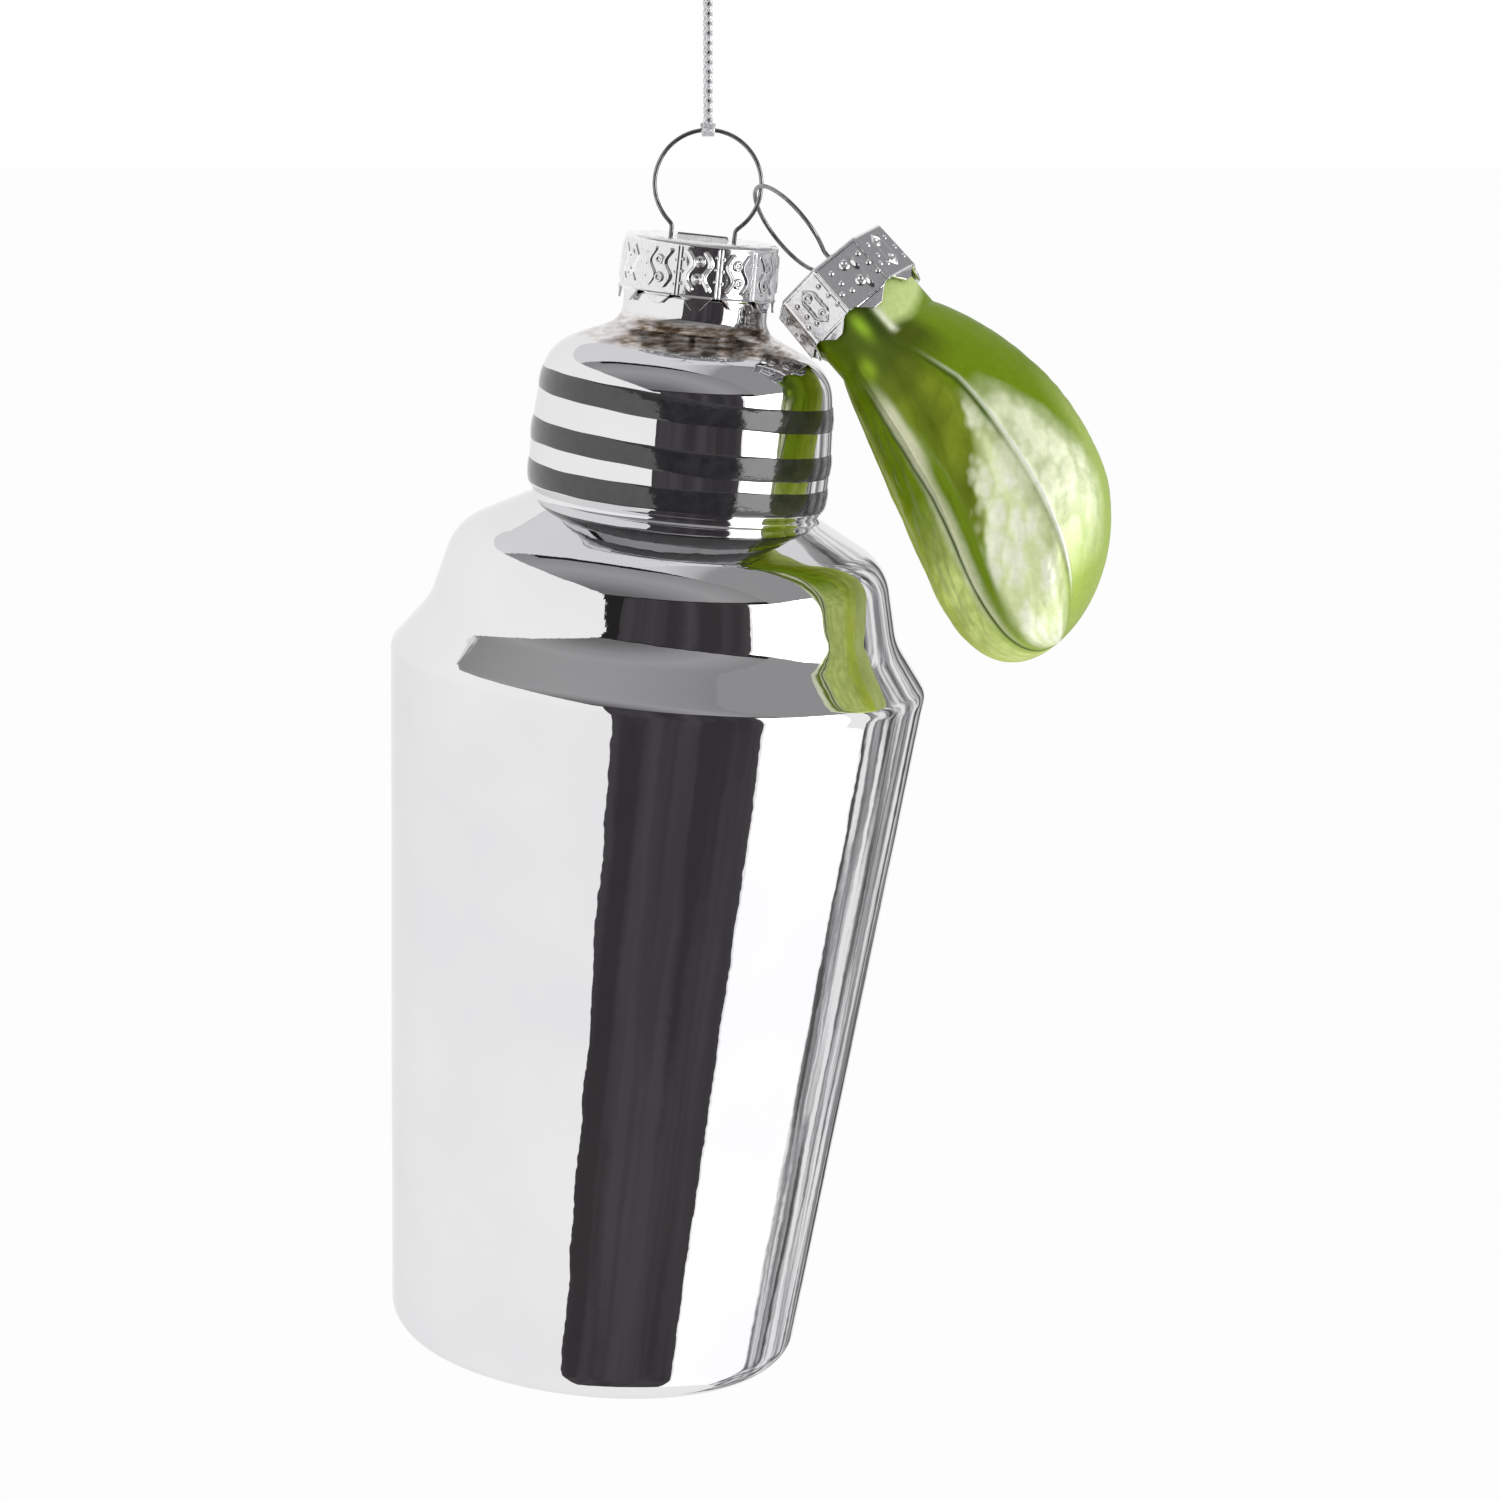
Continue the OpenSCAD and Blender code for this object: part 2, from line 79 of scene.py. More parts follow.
def hung_shaker(points):
    """Points of the shaker tilted and moved to their place, as the CAD hangs it."""
    return turned(points, SHAKER_TILT, SHAKER_AT)


def hung_lime(points):
    """Points of the lime turned towards the front, leaned and moved to their place, as the CAD hangs it."""
    a = math.radians(-LIME_NOD)
    x, y, z = np.moveaxis(np.asarray(points, float), -1, 0)
    nodded = np.stack([x, y * math.cos(a) - z * math.sin(a), y * math.sin(a) + z * math.cos(a)], -1)
    return turned(nodded, LIME_LEAN, LIME_AT)


def step_up(value, start, run):
    """0 to 1 over a run from a start, or 1 to 0 up to the start where the run is negative."""
    return np.clip((value - start) / run, 0, 1)


def polar(r, phi, z):
    """Points at a radius, an angle in radians and a height."""
    return np.stack(np.broadcast_arrays(r * np.cos(phi), r * np.sin(phi), z), -1)


def heading(angle):
    """The unit vector at an angle in degrees."""
    a = math.radians(angle)
    return np.array([math.cos(a), math.sin(a)])


def arc(c, r, start, end, step=0.25):
    """Points of an arc, in radius and height, with the angles in degrees."""
    n = max(6, int(abs(math.radians(end - start)) * r / step))
    a = np.radians(np.linspace(start, end, n + 1))
    return np.c_[c[0] + r * np.cos(a), c[1] + r * np.sin(a)]


def denser(line, step):
    """The same polyline with no run longer than a step."""
    out = [line[0]]
    for a, b in zip(line[:-1], line[1:]):
        n = max(1, math.ceil(np.linalg.norm(b - a) / step))
        out += [a + (b - a) * k / n for k in range(1, n + 1)]
    return np.array(out)


def softened(line, rounds):
    """The same polyline with its corners eased and its ends kept."""
    line = np.array(line, float)
    for _ in range(rounds):
        line[1:-1] = (line[:-2] + 2 * line[1:-1] + line[2:]) / 4
    return line


def spline(points, step):
    """A smooth line through the points, sampled about every step."""
    p = np.asarray(points, float)
    p = np.vstack([2 * p[0] - p[1], p, 2 * p[-1] - p[-2]])
    out = []
    for i in range(1, len(p) - 2):
        n = max(2, math.ceil(np.linalg.norm(p[i + 1] - p[i]) / step))
        t = np.arange(n)[:, None] / n
        a, b, c, d = p[i - 1], p[i], p[i + 1], p[i + 2]
        square, cube = 2 * a - 5 * b + 4 * c - d, 3 * b - a - 3 * c + d
        out.append(0.5 * (2 * b + (c - a) * t + square * t ** 2 + cube * t ** 3))
    return np.vstack(out + [p[-2][None]])


def line_frames(line):
    """Unit directions along a line, with two unit normals that don't twist."""
    way = np.gradient(line, axis=0)
    way /= np.linalg.norm(way, axis=1)[:, None]
    first = np.cross(way[0], [0, 1, 0])
    if np.linalg.norm(first) < 0.1:
        first = np.cross(way[0], [1, 0, 0])
    side = [first / np.linalg.norm(first)]
    for w in way[1:]:
        s = side[-1] - w * np.dot(side[-1], w)
        side.append(s / np.linalg.norm(s))
    side = np.array(side)
    return way, side, np.cross(way, side)


def tube_rows(line, radius, sides):
    """Rows of points round a line: a tube, with its ends closed to a point."""
    _, side, up = line_frames(line)
    a = np.linspace(0, 2 * np.pi, sides, endpoint=False)
    r = np.broadcast_to(np.asarray(radius, float), len(line))[:, None, None]
    rows = line[:, None] + r * (np.cos(a)[:, None] * side[:, None] + np.sin(a)[:, None] * up[:, None])
    ends = [np.repeat(line[[i]], sides, 0)[None] for i in (0, -1)]
    return np.vstack([ends[0], rows, ends[1]])


def grid_faces(rows, cols, start=0):
    """Quads of a grid of points that closes on itself along each row."""
    i, j = np.meshgrid(np.arange(rows - 1), np.arange(cols), indexing="ij")
    k = (j + 1) % cols
    quads = np.stack([i * cols + j, i * cols + k, (i + 1) * cols + k, (i + 1) * cols + j], -1)
    return quads.reshape(-1, 4) + start


def make_piece(name, grids, materials, body, nodes, paint=None, places=None):
    """One smooth mesh of one or more grids of rows, which rides on a body and stands for its CAD nodes."""
    points, faces, index = [], [], []
    count = 0
    for k, rows in enumerate(grids):
        quads = grid_faces(rows.shape[0], rows.shape[1], count)
        points.append(rows.reshape(-1, 3))
        faces.append(quads)
        index += [places[k] if places else 0] * len(quads)
        count += rows.shape[0] * rows.shape[1]
    points, faces = np.vstack(points), np.vstack(faces)
    a, b, c = points[faces[:, 0]], points[faces[:, 1]], points[faces[:, 2]]
    if np.einsum("ij,ij->", a - points.mean(0), np.cross(b - a, c - a)) < 0:
        faces = faces[:, ::-1]
    mesh = bpy.data.meshes.new(name)
    mesh.from_pydata((points * MM).tolist(), [], faces.tolist())
    mesh.polygons.foreach_set("use_smooth", np.ones(len(faces), bool))
    for material in materials:
        mesh.materials.append(material)
    mesh.polygons.foreach_set("material_index", np.array(index, np.int32))
    for label, values in (paint or {}).items():
        kind = "FLOAT" if values.ndim == 1 else "FLOAT_COLOR"
        layer = mesh.attributes.new(label, kind, "POINT")
        layer.data.foreach_set("value" if kind == "FLOAT" else "color", values.astype(np.float32).ravel())
    mesh.update()
    obj = bpy.data.objects.new(name, mesh)
    bpy.context.scene.collection.objects.link(obj)
    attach(obj, body)
    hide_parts(*nodes)
    return obj


# Material helpers
def new_material(name, **sockets):
    """A Principled material with these socket values, and its node tree."""
    material = bpy.data.materials.new(name)
    material.use_nodes = True
    shader = material.node_tree.nodes["Principled BSDF"]
    for label, value in sockets.items():
        shader.inputs[label.replace("_", " ")].default_value = value
    return material, material.node_tree, shader


def noise(tree, scale, detail=3, stretch=(1, 1, 1)):
    """A noise texture in the object's own metres."""
    nodes, links = tree.nodes, tree.links
    where = nodes.new("ShaderNodeTexCoord")
    grow = nodes.new("ShaderNodeMapping")
    grow.inputs["Scale"].default_value = stretch
    texture = nodes.new("ShaderNodeTexNoise")
    texture.inputs["Scale"].default_value = scale
    texture.inputs["Detail"].default_value = detail
    links.new(where.outputs["Object"], grow.inputs["Vector"])
    links.new(grow.outputs["Vector"], texture.inputs["Vector"])
    return texture.outputs["Fac"]


def attribute(tree, name, output):
    """A mesh attribute as a shader value."""
    node = tree.nodes.new("ShaderNodeAttribute")
    node.attribute_name = name
    return node.outputs[output]


def ramp(tree, value, stops):
    """A value turned into a colour or a grey by a ramp."""
    node = tree.nodes.new("ShaderNodeValToRGB")
    elements = node.color_ramp.elements
    while len(elements) < len(stops):
        elements.new(0.5)
    for element, (at, colour) in zip(elements, stops):
        element.position = at
        element.color = colour if hasattr(colour, "__len__") else (colour, colour, colour, 1)
    tree.links.new(value, node.inputs["Fac"])
    return node.outputs["Color"]


def mixed(tree, factor, a, b, mode="MIX"):
    """Two colours mixed, each a colour or an output."""
    node = tree.nodes.new("ShaderNodeMix")
    node.data_type = "RGBA"
    node.blend_type = mode
    for socket, value in ((node.inputs[0], factor), (node.inputs[6], a), (node.inputs[7], b)):
        if isinstance(value, bpy.types.NodeSocket):
            tree.links.new(value, socket)
        else:
            socket.default_value = value
    return node.outputs[2]


def bump(tree, shader, height, distance, strength=1.0):
    """Bumps of a height in metres on a shader, on top of any that it has."""
    node = tree.nodes.new("ShaderNodeBump")
    node.inputs["Strength"].default_value = strength
    node.inputs["Distance"].default_value = distance
    tree.links.new(height, node.inputs["Height"])
    normal = shader.inputs["Normal"]
    if normal.is_linked:
        tree.links.new(normal.links[0].from_socket, node.inputs["Normal"])
    tree.links.new(node.outputs["Normal"], normal)


# Materials
def silvered_glass():
    material, tree, shader = new_material("silvered_glass", Metallic=1.0, Specular_Tint=(0.9, 0.9, 0.9, 1))
    silver = ramp(tree, noise(tree, 60, 2), [(0.35, (0.785, 0.785, 0.8, 1)), (0.65, (0.83, 0.828, 0.825, 1))])
    stain = ramp(tree, noise(tree, 600, 5, (1, 1, 5)),
                 [(0.38, (0.16, 0.11, 0.07, 1)), (0.5, (0.5, 0.41, 0.33, 1)), (0.62, (0.86, 0.83, 0.79, 1))])
    amount = attribute(tree, "tarnish", "Fac")
    tree.links.new(mixed(tree, amount, silver, stain), shader.inputs["Base Color"])
    tree.links.new(ramp(tree, amount, [(0.0, 0.025), (1.0, 0.22)]), shader.inputs["Roughness"])
    bump(tree, shader, noise(tree, 320, 2), 0.00002)
    bump(tree, shader, noise(tree, 90, 1), 0.00006)
    return material


def black_enamel():
    material, tree, shader = new_material("black_enamel", Roughness=0.1, IOR=1.75)
    black = ramp(tree, noise(tree, 900), [(0.3, (0.016, 0.015, 0.017, 1)), (0.7, (0.03, 0.029, 0.031, 1))])
    tree.links.new(black, shader.inputs["Base Color"])
    bump(tree, shader, noise(tree, 700, 2, (1, 1, 2.5)), 0.00004)
    return material


def stamped_tin(name):
    material, tree, shader = new_material(name, Metallic=1.0)
    height = attribute(tree, "relief", "Fac")
    grain = noise(tree, 2500, 4)
    # Colour by relief is painted shade and highlight: darker where low and inside the cap, lighter on the
    # raised stamping; relief 0 makes the line along the bar black
    base = ramp(tree, height, [(0.0, (0.05, 0.05, 0.05, 1)), (0.14, (0.5, 0.49, 0.48, 1)),
                               (0.3, (0.8, 0.8, 0.81, 1)), (0.8, (0.93, 0.93, 0.935, 1))])
    worn = ramp(tree, grain, [(0.45, 0.0), (0.85, 0.25)])
    tree.links.new(mixed(tree, worn, base, (0.5, 0.48, 0.46, 1)), shader.inputs["Base Color"])
    tree.links.new(ramp(tree, grain, [(0.3, 0.09), (0.75, 0.2)]), shader.inputs["Roughness"])
    bump(tree, shader, noise(tree, 1400, 3), 0.00003)
    return material


def spring_wire():
    material, tree, shader = new_material("spring_wire", Metallic=1.0)
    steel = ramp(tree, noise(tree, 1500), [(0.3, (0.2, 0.2, 0.205, 1)), (0.7, (0.38, 0.38, 0.385, 1))])
    tree.links.new(steel, shader.inputs["Base Color"])
    tree.links.new(ramp(tree, noise(tree, 4000), [(0.3, 0.18), (0.7, 0.32)]), shader.inputs["Roughness"])
    bump(tree, shader, noise(tree, 5000, 2), 0.00001)
    return material


def lime_lacquer():
    material, tree, shader = new_material("lime_lacquer", Metallic=0.3, Specular_IOR_Level=0.25)
    paint = attribute(tree, "paint", "Color")
    speck = noise(tree, 1800, 4)
    shade = ramp(tree, speck, [(0.3, (0.9, 0.92, 0.84, 1)), (0.7, (1.0, 1.0, 1.0, 1))])
    tree.links.new(mixed(tree, 1.0, paint, shade, "MULTIPLY"), shader.inputs["Base Color"])
    tree.links.new(ramp(tree, speck, [(0.3, 0.36), (0.7, 0.48)]), shader.inputs["Roughness"])
    bump(tree, shader, noise(tree, 1500, 3), 0.00005)
    bump(tree, shader, noise(tree, 420, 2), 0.0001)
    return material


def metallic_thread():
    material, tree, shader = new_material("metallic_thread", Metallic=0.75)
    glint = noise(tree, 6000, 3)
    bright = ramp(tree, glint, [(0.3, (0.6, 0.6, 0.62, 1)), (0.6, (0.9, 0.9, 0.91, 1))])
    tree.links.new(bright, shader.inputs["Base Color"])
    tree.links.new(ramp(tree, glint, [(0.3, 0.22), (0.7, 0.45)]), shader.inputs["Roughness"])
    bump(tree, shader, noise(tree, 7000, 2), 0.00006)
    return material


# A near-black core: painted shade in the gaps between the braid's strands
def gap_shade_core():
    material, tree, shader = new_material("gap_shade_core", Roughness=0.6)
    dark = ramp(tree, noise(tree, 5000), [(0.3, (0.008, 0.008, 0.009, 1)), (0.7, (0.03, 0.03, 0.032, 1))])
    tree.links.new(dark, shader.inputs["Base Color"])
    bump(tree, shader, noise(tree, 6000, 2), 0.00003)
    return material


SILVER = silvered_glass()
ENAMEL = black_enamel()
SHAKER_TIN = stamped_tin("shaker_tin")
LIME_TIN = stamped_tin("lime_tin")
WIRE = spring_wire()
LACQUER = lime_lacquer()
THREAD = metallic_thread()
GAP_SHADE_CORE = gap_shade_core()


# Camera
def make_camera():
    data = bpy.data.cameras.new("camera")
    data.lens = CAMERA_LENS
    data.sensor_width = CAMERA_SENSOR
    data.clip_start = CAMERA_NEAR
    obj = bpy.data.objects.new("camera", data)
    obj.location = CAMERA_AT
    obj.rotation_euler = (math.radians(CAMERA_PITCH), 0, 0)
    bpy.context.scene.collection.objects.link(obj)
    bpy.context.scene.camera = obj


# Cord: a round braid of four strands round a near-black core, which is painted shade in the gaps between
# them, from the hitch on the ring to the knot below its eye
CORD_STEM = [[0, 0, z] for z in (-39.51, -37, -34, -31, -28, -25, -22, -20)]
CORD_EYE = [[0.3, 0, -18.5], [1, 0, -17], [2, 0, -15], [3.3, 0, -12.5], [4.4, 0, -10], [5, 0, -7.5],
            [4.9, 0, -5], [3.9, 0, -2.5], [2.2, 0, -0.4], [0, 0, 0.5], [-2.2, 0, -0.4], [-3.9, 0, -2.5],
            [-4.9, 0, -5], [-5, 0, -7.5], [-4.4, 0, -10], [-3.3, 0, -12.5], [-2, 0, -15], [-1.2, 0, -16.6]]
BRAID_PITCH = 1.84
BRAID_R = 0.25
STRAND_R = 0.19
BRAID_WEAVE = 0.05
BRAID_FACE = -72
CORD_STEP, STRAND_SIDES = 0.08, 8

# Knot and hitch: the turns of each, and the strand that crosses over them
KNOT_AT = np.array([0, 0, -18.2])
KNOT_R, KNOT_TURNS, KNOT_HALF, KNOT_STRAND_R = 0.75, 3, 0.72, 0.42
OVER_R, OVER_HALF, OVER_SWING, OVER_STRAND_R = 0.86, 0.8, 0.35, 0.3
RING_TOP = np.array([0, 0, -40])
HITCH_R, HITCH_TURNS, HITCH_HALF = 0.49, 4, 0.58
CROSS_R, CROSS_HALF, CROSS_RISE, CROSS_STRAND_R = 0.52, 0.62, 0.16, 0.15


def braid_strand(line, side, up, turn, phase):
    """One strand of the braid: a helix that weaves over and under the strands of the other hand."""
    s = np.r_[0, np.cumsum(np.linalg.norm(np.diff(line, axis=0), axis=1))]
    a = turn * 2 * np.pi * s / BRAID_PITCH + np.radians(phase)
    r = BRAID_R + turn * BRAID_WEAVE * np.sin(4 * np.pi * s / BRAID_PITCH)
    return line + (r * np.cos(a))[:, None] * side + (r * np.sin(a))[:, None] * up


def make_cord():
    line = spline(CORD_STEM + CORD_EYE, CORD_STEP)
    _, side, up = line_frames(line)
    grids = [tube_rows(braid_strand(line, side, up, turn, BRAID_FACE + half), STRAND_R, STRAND_SIDES)
             for turn in (1, -1) for half in (0, 180)]
    # The near-black core shows through the gaps as painted shade
    grids.append(tube_rows(line[::3], STRAND_R, STRAND_SIDES))
    cord = make_piece("hanging_cord_braid", grids, [THREAD, GAP_SHADE_CORE], "hanging_loop", ["hanging_cord"],
                      places=[0, 0, 0, 0, 1])
    knot = make_knot()
    hitch = make_hitch()


def make_knot():
    """Three turns of the cord, drawn tight, with one turn over them."""
    a = np.linspace(0, 2 * np.pi * KNOT_TURNS, 160)
    coil = np.c_[KNOT_R * np.cos(a), KNOT_R * np.sin(a), np.linspace(-KNOT_HALF, KNOT_HALF, len(a))] + KNOT_AT
    b = np.linspace(-0.9, 0.9, 24)
    over = np.c_[OVER_SWING * np.sin(3 * b), -OVER_R * np.cos(b), OVER_HALF * b] + KNOT_AT
    grids = [tube_rows(coil, KNOT_STRAND_R, 10), tube_rows(over, OVER_STRAND_R, 10)]
    return make_piece("cord_knot_turns", grids, [THREAD], "hanging_loop", ["cord_knot"])


def make_hitch():
    """Wraps of the cord round the top of the shaker's ring, with one strand across them."""
    a = np.linspace(0, 2 * np.pi * HITCH_TURNS, 40 * HITCH_TURNS)
    x = np.linspace(-HITCH_HALF, HITCH_HALF, len(a))
    coil = np.c_[x, HITCH_R * np.sin(a), HITCH_R * np.cos(a)] + RING_TOP
    b = np.linspace(-1, 1, 30)
    bowed = -CROSS_R * np.sqrt(1 - 0.3 * b ** 2)
    across = np.c_[CROSS_HALF * b, bowed, CROSS_RISE * np.sin(2.2 * b)] + RING_TOP
    grids = [tube_rows(coil, STRAND_R, STRAND_SIDES), tube_rows(across, CROSS_STRAND_R, STRAND_SIDES)]
    return make_piece("cord_hitch_wraps", grids, [THREAD], "hanging_loop", ["cord_hitch"])


# Shaker: a blown shell of tangent arcs, with painted bands on its lid
CUP_H, CUP_BASE_R, CUP_RIM_R = 69.9, 20.5, 26.7
BASE_EDGE_R, RIM_BEAD_R = 3.2, 1.9
FLARE_R, SHOULDER_RUN, SHOULDER_LEAN, SHOULDER_ROUND, SHOULDER_TOP = 5, 5.6, 14, 5.7, 5.3
CREASE_ROUND, FOOT_ROUND, LID_ROUND, LID_SWELL_R, LID_SIDE_H = 0.5, 1.2, 4.6, 50, 10.8
NECK_R, NECK_H, NECK_FILLET, NECK_END_R, NECK_STRAIGHT, GLASS_WALL = 7.1, 2, 2.2, 6.1, 0.95, 0.9
BEAD_TURN, SHOULDER_PITCH, FOOT_TURN, SWELL_LOW, LID_PITCH = 60, 62, 45, 4, 66

# The flare above the rim is up to 0.55 mm fuller than the CAD's, as the photograph's outline is
FLARE_PITCH, FLARE_ROUND = 37, 6
GLASS_COLS = 288
GLASS_STEP = 0.6

# Slow waves of the blown glass: crests round it, height of one wave and share of the whole
GLASS_WAVES = ((2, 60, 1.0), (3, 37, 0.8), (5, 22, 0.5), (8, 14, 0.35), (13, 9, 0.2))
WAVE_H, WAVE_FULL_R, PHASE_SPAN = 0.06, 10, 6.28

# Brown stain on the dome: its sides in degrees from the front, radii, lowest height and share behind
STAIN_SIDES, STAIN_SIDE_RUNS = (-60, 88), (22, -25)
STAIN_R, STAIN_R_RUNS = (7.12, 11.6), (0.2, -0.7)
STAIN_FROM, STAIN_BEHIND = 101.5, 0.45

# Enamel bands: height above the crease and slant of each, and the coat on the glass
BANDS = {"band_lower": (0.95, 0.0), "band_middle": (4.7, 1.7), "band_upper": (9.5, 2.6)}
BAND_W, BAND_T, COAT_GAP, COAT_SHARE, COAT_DEPTH, COAT_R = 2.15, 0.1, 0.02, 0.9, 0.09, 12

# Waver of a band's edges, as crests and height, and half of its profile, as shares of its width and thickness
BAND_WAVER = ((3, 0.05), (7, 0.03), (17, 0.016))
BAND_PROFILE = [(-0.08, -1), (0, 0), (0.06, 0.25), (0.16, 0.6), (0.3, 0.9), (0.5, 1.05)]


def shaker_lines():
    """The shell's outside line from base to neck, the lid's part of it, and the height of the crease."""
    taper = math.degrees(math.atan((CUP_RIM_R - CUP_BASE_R) / CUP_H))
    t = math.radians(taper)
    swell_high = math.degrees(math.asin(LID_SIDE_H / LID_SWELL_R - math.sin(math.radians(SWELL_LOW))))
    base_c = np.array([CUP_BASE_R + BASE_EDGE_R * (math.tan(t) - 1 / math.cos(t)), BASE_EDGE_R])
    bead_c = np.array([CUP_RIM_R - RIM_BEAD_R, CUP_H])
    flare_c = bead_c + (RIM_BEAD_R + FLARE_R) * heading(BEAD_TURN)
    side_foot, side_way = flare_c - FLARE_R * heading(SHOULDER_LEAN), heading(90 + SHOULDER_LEAN)
    side_top = side_foot + SHOULDER_RUN * side_way
    rim_edge = bead_c + RIM_BEAD_R * heading(FLARE_PITCH)
    _, rise = np.linalg.solve(np.c_[heading(90 + FLARE_PITCH), -side_way], side_foot - rim_edge)
    bend = math.tan(math.radians(FLARE_PITCH - SHOULDER_LEAN) / 2)
    cone_c = side_foot + (rise + FLARE_ROUND * bend) * side_way + FLARE_ROUND * heading(SHOULDER_LEAN)
    shoulder_c = side_top - SHOULDER_ROUND * heading(SHOULDER_LEAN)
    slope_start = shoulder_c + SHOULDER_ROUND * heading(SHOULDER_PITCH)
    slope_end = slope_start + SHOULDER_TOP * heading(90 + SHOULDER_PITCH)
    crease_c = slope_end + CREASE_ROUND * heading(SHOULDER_PITCH)
    foot_c = crease_c + (CREASE_ROUND + FOOT_ROUND) * heading(180 - FOOT_TURN)
    swell_c = foot_c + (FOOT_ROUND - LID_SWELL_R) * heading(-SWELL_LOW)
    lid_c = swell_c + (LID_SWELL_R - LID_ROUND) * heading(swell_high)
    lid_edge = lid_c + LID_ROUND * heading(LID_PITCH)
    lid_pitch = math.radians(LID_PITCH)
    fillet_x = NECK_R + NECK_FILLET
    run = (lid_edge[0] + NECK_FILLET * math.cos(lid_pitch) - fillet_x) / math.sin(lid_pitch)
    fillet_c = lid_edge + NECK_FILLET * heading(LID_PITCH) + run * heading(90 + LID_PITCH)
    neck = [[NECK_R, NECK_STRAIGHT * NECK_H], [NECK_END_R, NECK_H],
            [NECK_END_R - GLASS_WALL, NECK_H], [NECK_R - GLASS_WALL, 0]]
    lid = np.vstack([
        arc(foot_c, FOOT_ROUND, -FOOT_TURN, -SWELL_LOW, 0.1),
        arc(swell_c, LID_SWELL_R, -SWELL_LOW, swell_high),
        arc(lid_c, LID_ROUND, swell_high, LID_PITCH, 0.12)])
    shell = np.vstack([
        [[0.02, 0]],
        arc(base_c, BASE_EDGE_R, -90, -taper),
        arc(bead_c, RIM_BEAD_R, -taper, FLARE_PITCH, 0.15),
        arc(cone_c, FLARE_ROUND, 180 + FLARE_PITCH, 180 + SHOULDER_LEAN),
        arc(shoulder_c, SHOULDER_ROUND, SHOULDER_LEAN, SHOULDER_PITCH, 0.15),
        arc(crease_c, CREASE_ROUND, 180 + SHOULDER_PITCH, 180 - FOOT_TURN, 0.06),
        lid,
        arc(fillet_c, NECK_FILLET, 180 + LID_PITCH, 180, 0.12),
        fillet_c * [0, 1] + neck])
    apart = np.linalg.norm(np.diff(shell, axis=0), axis=1) > 1e-6
    return denser(shell[np.r_[True, apart]], GLASS_STEP), lid, crease_c[1]


SHELL, LID, CREASE_Z = shaker_lines()


def waves(phi, z):
    """Slow unevenness of blown glass, never outside its surface."""
    out = np.zeros(np.broadcast(phi, z).shape)
    for crests, length, share in GLASS_WAVES:
        out += share * np.sin(crests * phi + 2 * np.pi * z / length + rng.uniform(0, PHASE_SPAN))
    whole = sum(share for _, _, share in GLASS_WAVES)
    return WAVE_H * (out / whole - 1) / 2


def tarnish(phi, r, z):
    """Brown stain of the silvering on the dome round the neck, from 0 to 1, strongest in front."""
    side = np.degrees(np.mod(phi + np.pi / 2 + np.pi, 2 * np.pi) - np.pi)
    front, foot = 1, z > STAIN_FROM
    for k in (0, 1):
        front = front * step_up(side, STAIN_SIDES[k], STAIN_SIDE_RUNS[k])
        foot = foot * step_up(r, STAIN_R[k], STAIN_R_RUNS[k])
    return np.maximum(front, STAIN_BEHIND) * foot


def make_shaker():
    phi = np.linspace(0, 2 * np.pi, GLASS_COLS, endpoint=False)[None]
    r, z = SHELL[:, 0:1], SHELL[:, 1:2]
    rows = polar(r + waves(phi, z) * np.clip(r / WAVE_FULL_R, 0, 1), phi, z)
    make_piece("shaker_blown_glass", [hung_shaker(rows)], [SILVER], "shaker", ["shaker_glass"],
               {"tarnish": tarnish(phi, r, z).ravel()})
    for name, (low, slant) in BANDS.items():
        make_band(name, low, slant)


def lid_radius(z):
    return np.interp(z, LID[:, 1], LID[:, 0])


def make_band(name, low, slant):
    """A coat of enamel, thinner at its edges, which waver a little as a brush leaves them."""
    phi = np.linspace(0, 2 * np.pi, GLASS_COLS, endpoint=False)
    waver = [sum(h * np.sin(m * phi + rng.uniform(0, PHASE_SPAN)) for m, h in BAND_WAVER) for _ in range(2)]
    profile = BAND_PROFILE + [(1 - share, thick) for share, thick in BAND_PROFILE[-2::-1]]
    rows = []
    for share, thick in profile:
        z = CREASE_Z + low + share * BAND_W + (1 - share) * waver[0] + share * waver[1]
        z = z - lid_radius(z) * np.cos(phi) * math.tan(math.radians(slant))
        rows.append(polar(lid_radius(z) + COAT_GAP + (BAND_T * thick - COAT_GAP) * COAT_SHARE, phi, z))
    inner = np.array(rows[::-1])
    inner[..., :2] *= 1 - COAT_DEPTH / COAT_R
    rows = np.vstack([np.array(rows), inner, np.array(rows[:1])])
    make_piece(name + "_enamel", [hung_shaker(rows)], [ENAMEL], "shaker", [name])


# Stamped caps
CAP_SHEET, CAP_FLARE, CAP_EDGE_R, BRIDGE_R, BRIDGE_H = 0.3, 1.5, 0.5, 0.7, 0.4
SHAKER_CAP_AT = 112.683
SHAKER_CAP = dict(r=7.55, wall=5.2, tab=1.3, panels=12, span=6.2, seam=15, flat=False)
LIME_CAP = dict(r=6.2, wall=5.4, tab=1.3, panels=8, span=5.6, seam=17, flat=True)
TAB_ROOT, TAB_TIP = 0.76, 0.2

# What is stamped on the caps: places, widths and heights of the relief
SEAM_OFF, SEAM_W, SEAM_H = 0.17, 0.07, 0.07
RIM_OFF, RIM_W, RIM_H = 0.08, 0.13, 0.12
RIBBON_OFF, RIBBON_W, RIBBON_H, RIBBON_SWING, RIBBON_PITCH = 0.42, 0.19, 0.2, 0.3, 2.7
LOZENGE_AT, LOZENGE_W, LOZENGE_H = (0.17, 2.7), 0.14, 0.18
BLOB_W, BLOB_H = 0.24, 0.24
HOLE_R, HOLE_DEPTH = 0.62, 0.32
BAR_LINE_AT, BAR_LINE_HALF = -0.18, 0.28

# Bosses, blobs and dots of a flat panel, from its middle and from the cap's top
BOSSES = ((0.05, 1.65), (0.3, 3.75))
BLOBS = ((1.0, 2.1), (0.95, 4.3))
DOTS = ((1.76, 1.6), (1.95, 2.9), (2.1, 4.1), (-1.4, 1.5), (-1.3, 2.85), (-0.95, 4.0), (-1.9, 3.7))


